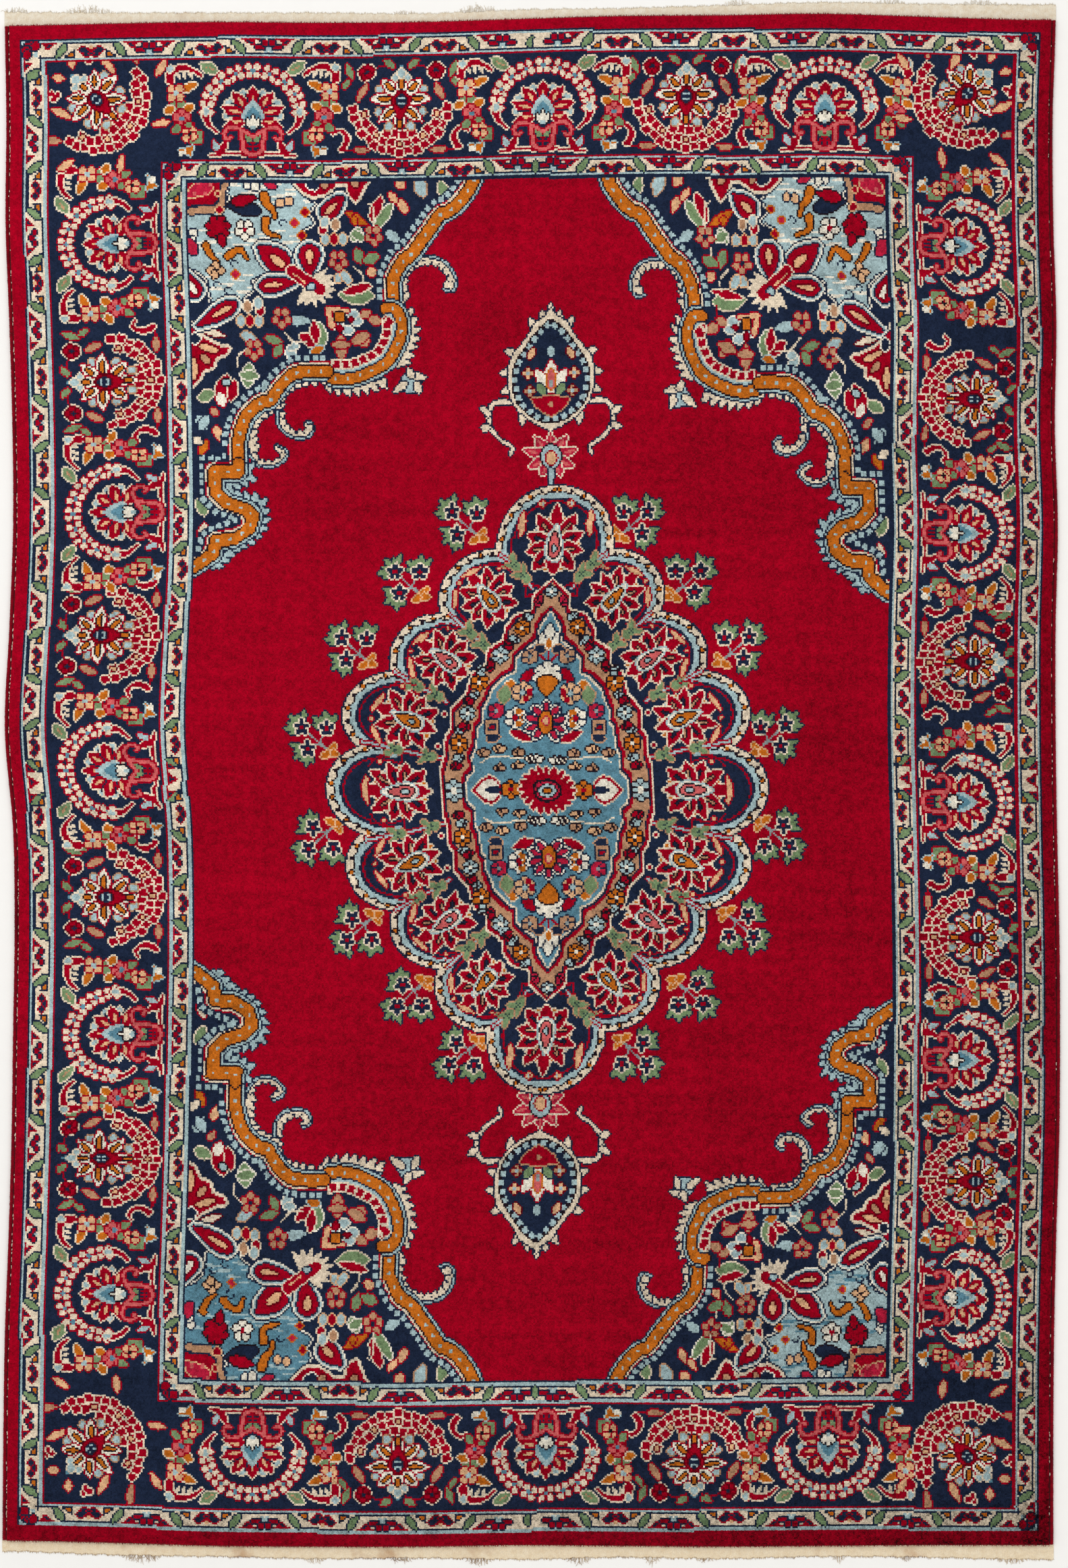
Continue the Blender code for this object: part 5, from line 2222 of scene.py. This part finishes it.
@dataclass(frozen=True)
class KelimEnd:
    """One flat-woven end: cotton warps in ribs with wefts over and under, frayed at the outer edge."""

    outline: Outline
    end: RugEnd
    tufts: tuple[Tuft, ...]
    yarn: PlainYarn
    fray_yarn: PlainYarn
    pitch: float = 2.39 * MM
    thickness: float = 2.0 * MM
    rows: int = 10
    columns_per_rib: int = 4
    seed: int = 7

    def make(self) -> list[bpy.types.Object]:
        """Builds the woven strip and its frayed warps.

        Returns:
            The pieces.
        """
        corner = self.outline.end("pile", self.end, np.array([0.0]))
        left, right = (float(self.outline.side(side, corner)[0]) for side in RugSide)
        ribs = round((right - left) / self.pitch)
        return [self.weave(left, right, ribs, self.yarn.make()), self.fray(left, right, ribs)]

    def outer(self, x: np.ndarray) -> np.ndarray:
        """Gives the y of the ragged outer edge."""
        ragged = 0.5 * np.sin(x * 310) + 0.4 * np.sin(x * 733 + 1) + 0.3 * np.sin(x * 127 + 2)
        return self.outline.end("kelim", self.end, x) + self.end.value * MM * (ragged - 0.8)

    def weave(self, left: float, right: float, ribs: int, cotton: bpy.types.Material) -> bpy.types.Object:
        """Builds the woven strip.

        Args:
            left: The strip's left edge.
            right: Its right edge.
            ribs: How many warps it has.
            cotton: Its finish.

        Returns:
            The strip.
        """
        outward = self.end.value
        count = ribs * self.columns_per_rib + 1
        x = np.linspace(left, right, count)
        inner = self.outline.end("pile", self.end, x) + outward * self.outline.gap
        outer = self.outer(x)
        share = np.linspace(0, 1, self.rows + 1)[:, None]
        phase = np.arange(count) / self.columns_per_rib
        rib = np.abs(np.cos(math.pi * phase))
        over = np.cos(math.pi * np.floor(phase + 0.5)) * np.cos(math.pi * np.arange(self.rows + 1))[:, None]
        bulk = 1.0 - 0.35 * share ** 2
        top = self.thickness * bulk * (0.62 + 0.26 * rib + 0.12 * over * rib)
        top[-1] *= 0.45
        y = inner + (outer - inner) * share
        grid = np.stack([np.broadcast_to(x, y.shape), y, top], axis=-1)
        back = grid[[0, -1]].copy()
        back[..., 2] = UNDERSIDE
        points = np.concatenate([grid.reshape(-1, 3), back.reshape(-1, 3)])
        points[:, :2] -= self.outline.middle
        i = np.arange(count - 1)
        faces = [np.stack([r * count + i, r * count + i + 1, (r + 1) * count + i + 1, (r + 1) * count + i],
            axis=1) for r in range(self.rows)]
        first, last = (self.rows + 1) * count + i, (self.rows + 2) * count + i
        faces.append(np.stack([first, first + 1, i + 1, i], axis=1))
        faces.append(np.stack([self.rows * count + i, self.rows * count + i + 1, last + 1, last], axis=1))
        faces.append(np.stack([last, last + 1, first + 1, first], axis=1))
        sides = []
        for edge in (0, count - 1):
            ring = [r * count + edge for r in range(self.rows + 1)]
            sides.append([*ring, (self.rows + 2) * count + edge, (self.rows + 1) * count + edge])
        listed = np.concatenate(faces).tolist() + [sides[0], sides[1][::-1]]
        if outward < 0:
            listed = [face[::-1] for face in listed]
        return new_piece(f"kelim_weave_{self.end.word}", points, listed, [cotton], 70)

    def fray(self, left: float, right: float, ribs: int) -> bpy.types.Object:
        """Builds the frayed warps, longer and curled where a tuft has come loose.

        Args:
            left: The strip's left edge.
            right: Its right edge.
            ribs: How many warps it has.

        Returns:
            The frayed warps.
        """
        draw = np.random.default_rng(self.seed)
        threads = Threads()
        for k in range(ribs * 2):
            x = left + (right - left) * (k + 0.5) / (ribs * 2) + draw.normal(0, 0.3 * MM)
            length = MM * (1.4 + 1.8 * draw.random())
            curl = draw.normal(0, 0.35)
            for tuft in self.tufts:
                near = 1 - abs(x / MM - tuft.across) / tuft.spread
                if near > 0:
                    length += tuft.length * MM * math.sqrt(near) * draw.uniform(0.55, 1.05)
                    curl += draw.normal(0, 0.9)
            self.strand(threads, x, length, curl, draw)
        return threads.make(f"frayed_warps_{self.end.word}", self.fray_yarn.make(), "flat_woven_cotton")

    def strand(self, threads: Threads, x: float, length: float, curl: float,
            draw: np.random.Generator) -> None:
        """Adds one frayed warp, which leaves the weave straight and then bends aside.

        Args:
            threads: Where to add it.
            x: Where it leaves the weave.
            length: Its length.
            curl: How far it turns aside, in radians.
            draw: The source of chance.
        """
        root = float(self.outer(np.array([x]))[0])
        steps = 3 if length < 5 * MM else 6
        heading = draw.normal(0, 0.25)
        place = np.array([x, root - self.end.value * 0.8 * MM, 0.8 * MM])
        line = [place]
        for step in range(steps):
            heading += curl / steps
            place = place + length / steps * np.array([math.sin(heading), self.end.value * math.cos(heading),
                0])
            place[2] = max(0.35 * MM, 0.8 * MM + draw.normal(0, 0.2 * MM))
            line.append(place)
        path = np.array(line)
        path[:, :2] -= self.outline.middle
        threads.add(path, 0.75 * MM, 0.5)


@dataclass(frozen=True)
class SelvedgeCord:
    """One overcast side: wool wrapped round the outer warps, turn after turn."""

    outline: Outline
    side: RugSide
    yarn: PlainYarn
    height: float = 6.4 * MM
    pitch: float = 2.5 * MM
    sides: int = 11
    rings_per_turn: int = 3
    seed: int = 11

    def make(self) -> bpy.types.Object:
        """Builds the cord.

        Returns:
            The piece.
        """
        inward = self.side.value
        corner = self.outline.side(self.side, np.array([0.0]))
        top, bottom = (float(self.outline.end("pile", end, corner)[0]) for end in RugEnd)
        turns = round((top - bottom) / self.pitch)
        count = turns * self.rings_per_turn + 1
        y = np.linspace(bottom, top, count)
        draw = np.random.default_rng(self.seed)
        size = 1 + np.repeat(draw.normal(0, 0.035, turns + 1), self.rings_per_turn)[:count]
        lean = np.repeat(draw.normal(0, 0.25 * MM, turns + 1), self.rings_per_turn)[:count]
        bulge = 1 - 0.13 * np.cos(2 * math.pi * np.arange(count) / self.rings_per_turn) * 0.5 - 0.065
        angle = np.linspace(0, math.pi, self.sides)
        wide, tall = np.cos(angle), np.sin(angle)
        width = self.outline.selvedge_width
        middle = self.outline.side(self.side, y) + inward * width / 2
        x = middle[:, None] + width / 2 * (np.sign(wide) * np.abs(wide) ** 0.75) * (bulge * size)[:, None]
        z = self.height * np.abs(tall) ** 0.75 * (bulge * size)[:, None]
        z[:, 0] = z[:, -1] = UNDERSIDE
        slant = y[:, None] + (lean[:, None] + 0.8 * MM) * wide * tall
        points = np.stack([x, np.clip(slant, bottom, top), z], axis=-1).reshape(-1, 3)
        points[:, :2] -= self.outline.middle
        i, j = np.meshgrid(np.arange(self.sides), np.arange(count - 1))
        near = (j * self.sides + i).ravel()
        after = (j * self.sides + (i + 1) % self.sides).ravel()
        quads = np.stack([near, near + self.sides, after + self.sides, after], axis=1)
        caps = [list(range(self.sides)), [(count - 1) * self.sides + k for k in reversed(range(self.sides))]]
        name = f"overcast_cord_{self.side.word}"
        return new_piece(name, points, quads.tolist() + caps, [self.yarn.make()], 75)


@dataclass(frozen=True)
class BareWarps:
    """Cream warp that shows in dashes between a cord and the pile where the overcasting is worn."""

    outline: Outline
    side: RugSide
    yarn: PlainYarn
    dashes: int
    seed: int

    def make(self) -> bpy.types.Object:
        """Builds the dashes as short flattened threads.

        Returns:
            The piece.
        """
        draw = np.random.default_rng(self.seed)
        threads = Threads()
        for place in np.sort(draw.uniform(-1.0, 1.0, self.dashes)):
            length = MM * draw.uniform(1.2, 4.2)
            y = place + np.linspace(0, length, 3)
            x = self.outline.side(self.side, y)
            x = x + self.side.value * (self.outline.selvedge_width + draw.normal(0.2 * MM, 0.35 * MM))
            z = self.outline.pile_thickness - MM * np.array([2.4, 1.4, 2.2])
            path = np.stack([x - self.outline.middle[0], y - self.outline.middle[1], z], axis=1)
            threads.add(path, draw.uniform(1.1, 1.9) * MM, 0.7)
        return threads.make(f"bare_warp_dashes_{self.side.word}", self.yarn.make(), "flat_woven_cotton")


@dataclass(frozen=True)
class LooseWool:
    """The tips of the last rows of knots, which lean out over the flat weave at both ends."""

    outline: Outline
    yarn: PlainYarn
    columns: int
    seed: int = 3

    def make(self) -> bpy.types.Object:
        """Builds the tips.

        Returns:
            The piece.
        """
        draw = np.random.default_rng(self.seed)
        threads = Threads()
        for end in RugEnd:
            for k in range(self.columns * 2):
                share = (k + draw.random()) / (self.columns * 2)
                edge = 0.0 if end is RugEnd.BOTTOM else 1.0
                x, y = self.outline.fabric(np.array([share]), np.array([edge]))
                reach = MM * draw.uniform(0.3, 2.6)
                rise = self.outline.pile_thickness - draw.uniform(1.2, 4.5) * MM
                aside = draw.normal(0, 0.8 * MM)
                path = np.array([(x[0], y[0] - end.value * 1.0 * MM, rise),
                    (x[0] + aside * 0.4, y[0] + end.value * reach * 0.6, rise - 0.2 * MM),
                    (x[0] + aside, y[0] + end.value * reach, rise - draw.uniform(0.8, 2.2) * MM)])
                path[:, :2] -= self.outline.middle
                threads.add(path, 1.5 * MM, 0.35)
        return threads.make("pile_edge_tips", self.yarn.make(), "knotted_wool")


@dataclass(frozen=True)
class Studio:
    """The plain floor, soft lights and camera."""

    outline: Outline
    view_height: float = 2.0916  # how much the frame covers along Y, at the pile's height
    camera_height: float = 7.0
    offset: tuple[float, float] = (4.05 * MM, -3.6 * MM)
    sensor: float = 36.0

    def make(self) -> None:
        """Builds the studio."""
        self.floor()
        self.lights()
        self.camera()

    def floor(self) -> None:
        """Lays the floor just under the rug."""
        half = 6.0
        points = [(-half, -half, 0), (half, -half, 0), (half, half, 0), (-half, half, 0)]
        mesh = bpy.data.meshes.new("studio_floor")
        mesh.from_pydata(points, [], [(0, 1, 2, 3)])
        mesh.materials.append(StudioFloor().make())
        floor = bpy.data.objects.new("studio_floor", mesh)
        floor.location.z = -0.2 * MM
        bpy.context.scene.collection.objects.link(floor)
        floor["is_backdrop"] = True

    def lights(self) -> None:
        """Hangs two soft boxes and fills the room with even light."""
        world = bpy.data.worlds.new("soft studio")
        world.use_nodes = True
        background = world.node_tree.nodes["Background"]
        background.inputs["Color"].default_value = (1.0, 0.99, 0.975, 1.0)
        background.inputs["Strength"].default_value = 0.68
        bpy.context.scene.world = world
        for name, place, power in (("key_box", (-1.6, 1.8, 4.2), 70.0), ("fill_box", (2.2, -1.4, 4.2), 30.0)):
            data = bpy.data.lights.new(name, "AREA")
            data.shape = "RECTANGLE"
            data.size, data.size_y = 3.0, 3.0
            data.energy = power
            light = bpy.data.objects.new(name, data)
            light.location = place
            away = np.array(place) / np.linalg.norm(place)
            light.rotation_euler = (math.acos(away[2]), 0.0, math.atan2(away[1], away[0]) + math.pi / 2)
            bpy.context.scene.collection.objects.link(light)

    def camera(self) -> None:
        """Hangs the camera straight above the rug, at the photograph's framing."""
        data = bpy.data.cameras.new("overhead_camera")
        data.sensor_fit = "VERTICAL"
        data.sensor_height = self.sensor
        data.lens = self.sensor * (self.camera_height - self.outline.pile_thickness) / self.view_height
        data.clip_end = 50.0
        camera = bpy.data.objects.new("overhead_camera", data)
        camera.location = (self.offset[0] - self.outline.middle[0], self.offset[1] - self.outline.middle[1],
            self.camera_height)
        bpy.context.scene.collection.objects.link(camera)
        bpy.context.scene.camera = camera
        bpy.context.scene.view_settings.view_transform = "Standard"


TOP_TUFTS = (Tuft(-690, 20, 7), Tuft(-590, 30, 11), Tuft(-170, 14, 5), Tuft(-72, 24, 12), Tuft(275, 18, 8),
    Tuft(480, 20, 6), Tuft(600, 24, 7))

BOTTOM_TUFTS = (Tuft(-520, 24, 11), Tuft(-288, 10, 8), Tuft(-173, 14, 9), Tuft(-70, 16, 10), Tuft(65, 16, 11),
    Tuft(162, 10, 12), Tuft(232, 12, 6), Tuft(412, 8, 9), Tuft(500, 8, 8), Tuft(640, 22, 6))

CREAM_COTTON = PlainYarn("undyed cotton", (0.93, 0.90, 0.83), (0.88, 0.82, 0.72), (0.72, 0.58, 0.42), 0.12)
AGED_COTTON = PlainYarn("aged cotton", (0.95, 0.89, 0.78), (0.91, 0.83, 0.70), (0.72, 0.54, 0.38), 0.3)
CREAM_FRAY = PlainYarn("frayed cotton", (0.94, 0.91, 0.85), (0.86, 0.80, 0.70), (0.76, 0.64, 0.50), 0.2)
AGED_FRAY = PlainYarn("aged frayed cotton", (0.86, 0.78, 0.65), (0.74, 0.62, 0.46), (0.54, 0.38, 0.24), 0.5)
CORD_WOOL = PlainYarn("overcasting wool", (0.56, 0.00, 0.09), (0.42, 0.00, 0.07), (0.32, 0.00, 0.06), 0.4)
EDGE_WOOL = PlainYarn("crimson pile wool", (0.62, 0.00, 0.095), (0.50, 0.00, 0.08), (0.42, 0.00, 0.07), 0.3)
WARP_COTTON = PlainYarn("bare warp cotton", (0.93, 0.89, 0.82), (0.84, 0.76, 0.66), (0.60, 0.44, 0.32), 0.3)


def save_sizes() -> None:
    """Gathers the CAD model's box and the visual model's box side by side."""
    boxes = {"cad": cad_box, "visual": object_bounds()}
    listed = {name: [[float(value) for value in corner] for corner in corners] for name,
        corners in boxes.items()}


def main() -> None:
    """Builds the rug piece by piece over the CAD model."""
    logging.basicConfig(level=logging.INFO, format="%(message)s")
    outline = Outline().centred()
    log.info("outline centred, middle at %.4f, %.4f", *outline.middle)
    chart = weave_chart()
    log.info("chart drawn: %d by %d knots", chart.columns, chart.rows)
    Studio(outline).make()
    log.info("studio made")
    pile = PileSheet(outline, chart).make()
    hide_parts("pile")
    log.info("%s: %d faces", pile.name, len(pile.data.polygons))
    trimmings = [LooseWool(outline, EDGE_WOOL, chart.columns).make()]
    for end, tufts, yarn, fray in ((RugEnd.TOP, TOP_TUFTS, CREAM_COTTON, CREAM_FRAY),
            (RugEnd.BOTTOM, BOTTOM_TUFTS, AGED_COTTON, AGED_FRAY)):
        strip, warps = KelimEnd(outline, end, tufts, yarn, fray, seed=7 + end.value).make()
        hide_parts(f"kelim_{end.word}")
        trimmings += [strip, warps]
    for side, dashes in ((RugSide.LEFT, 300), (RugSide.RIGHT, 90)):
        cord = SelvedgeCord(outline, side, CORD_WOOL, seed=11 + side.value).make()
        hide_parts(f"selvedge_{side.word}")
        trimmings += [cord, BareWarps(outline, side, WARP_COTTON, dashes, 20 + side.value).make()]
    for piece in trimmings:
        log.info("%s: %d faces", piece.name, len(piece.data.polygons))
    save_sizes()


if __name__ == "__main__":
    main()
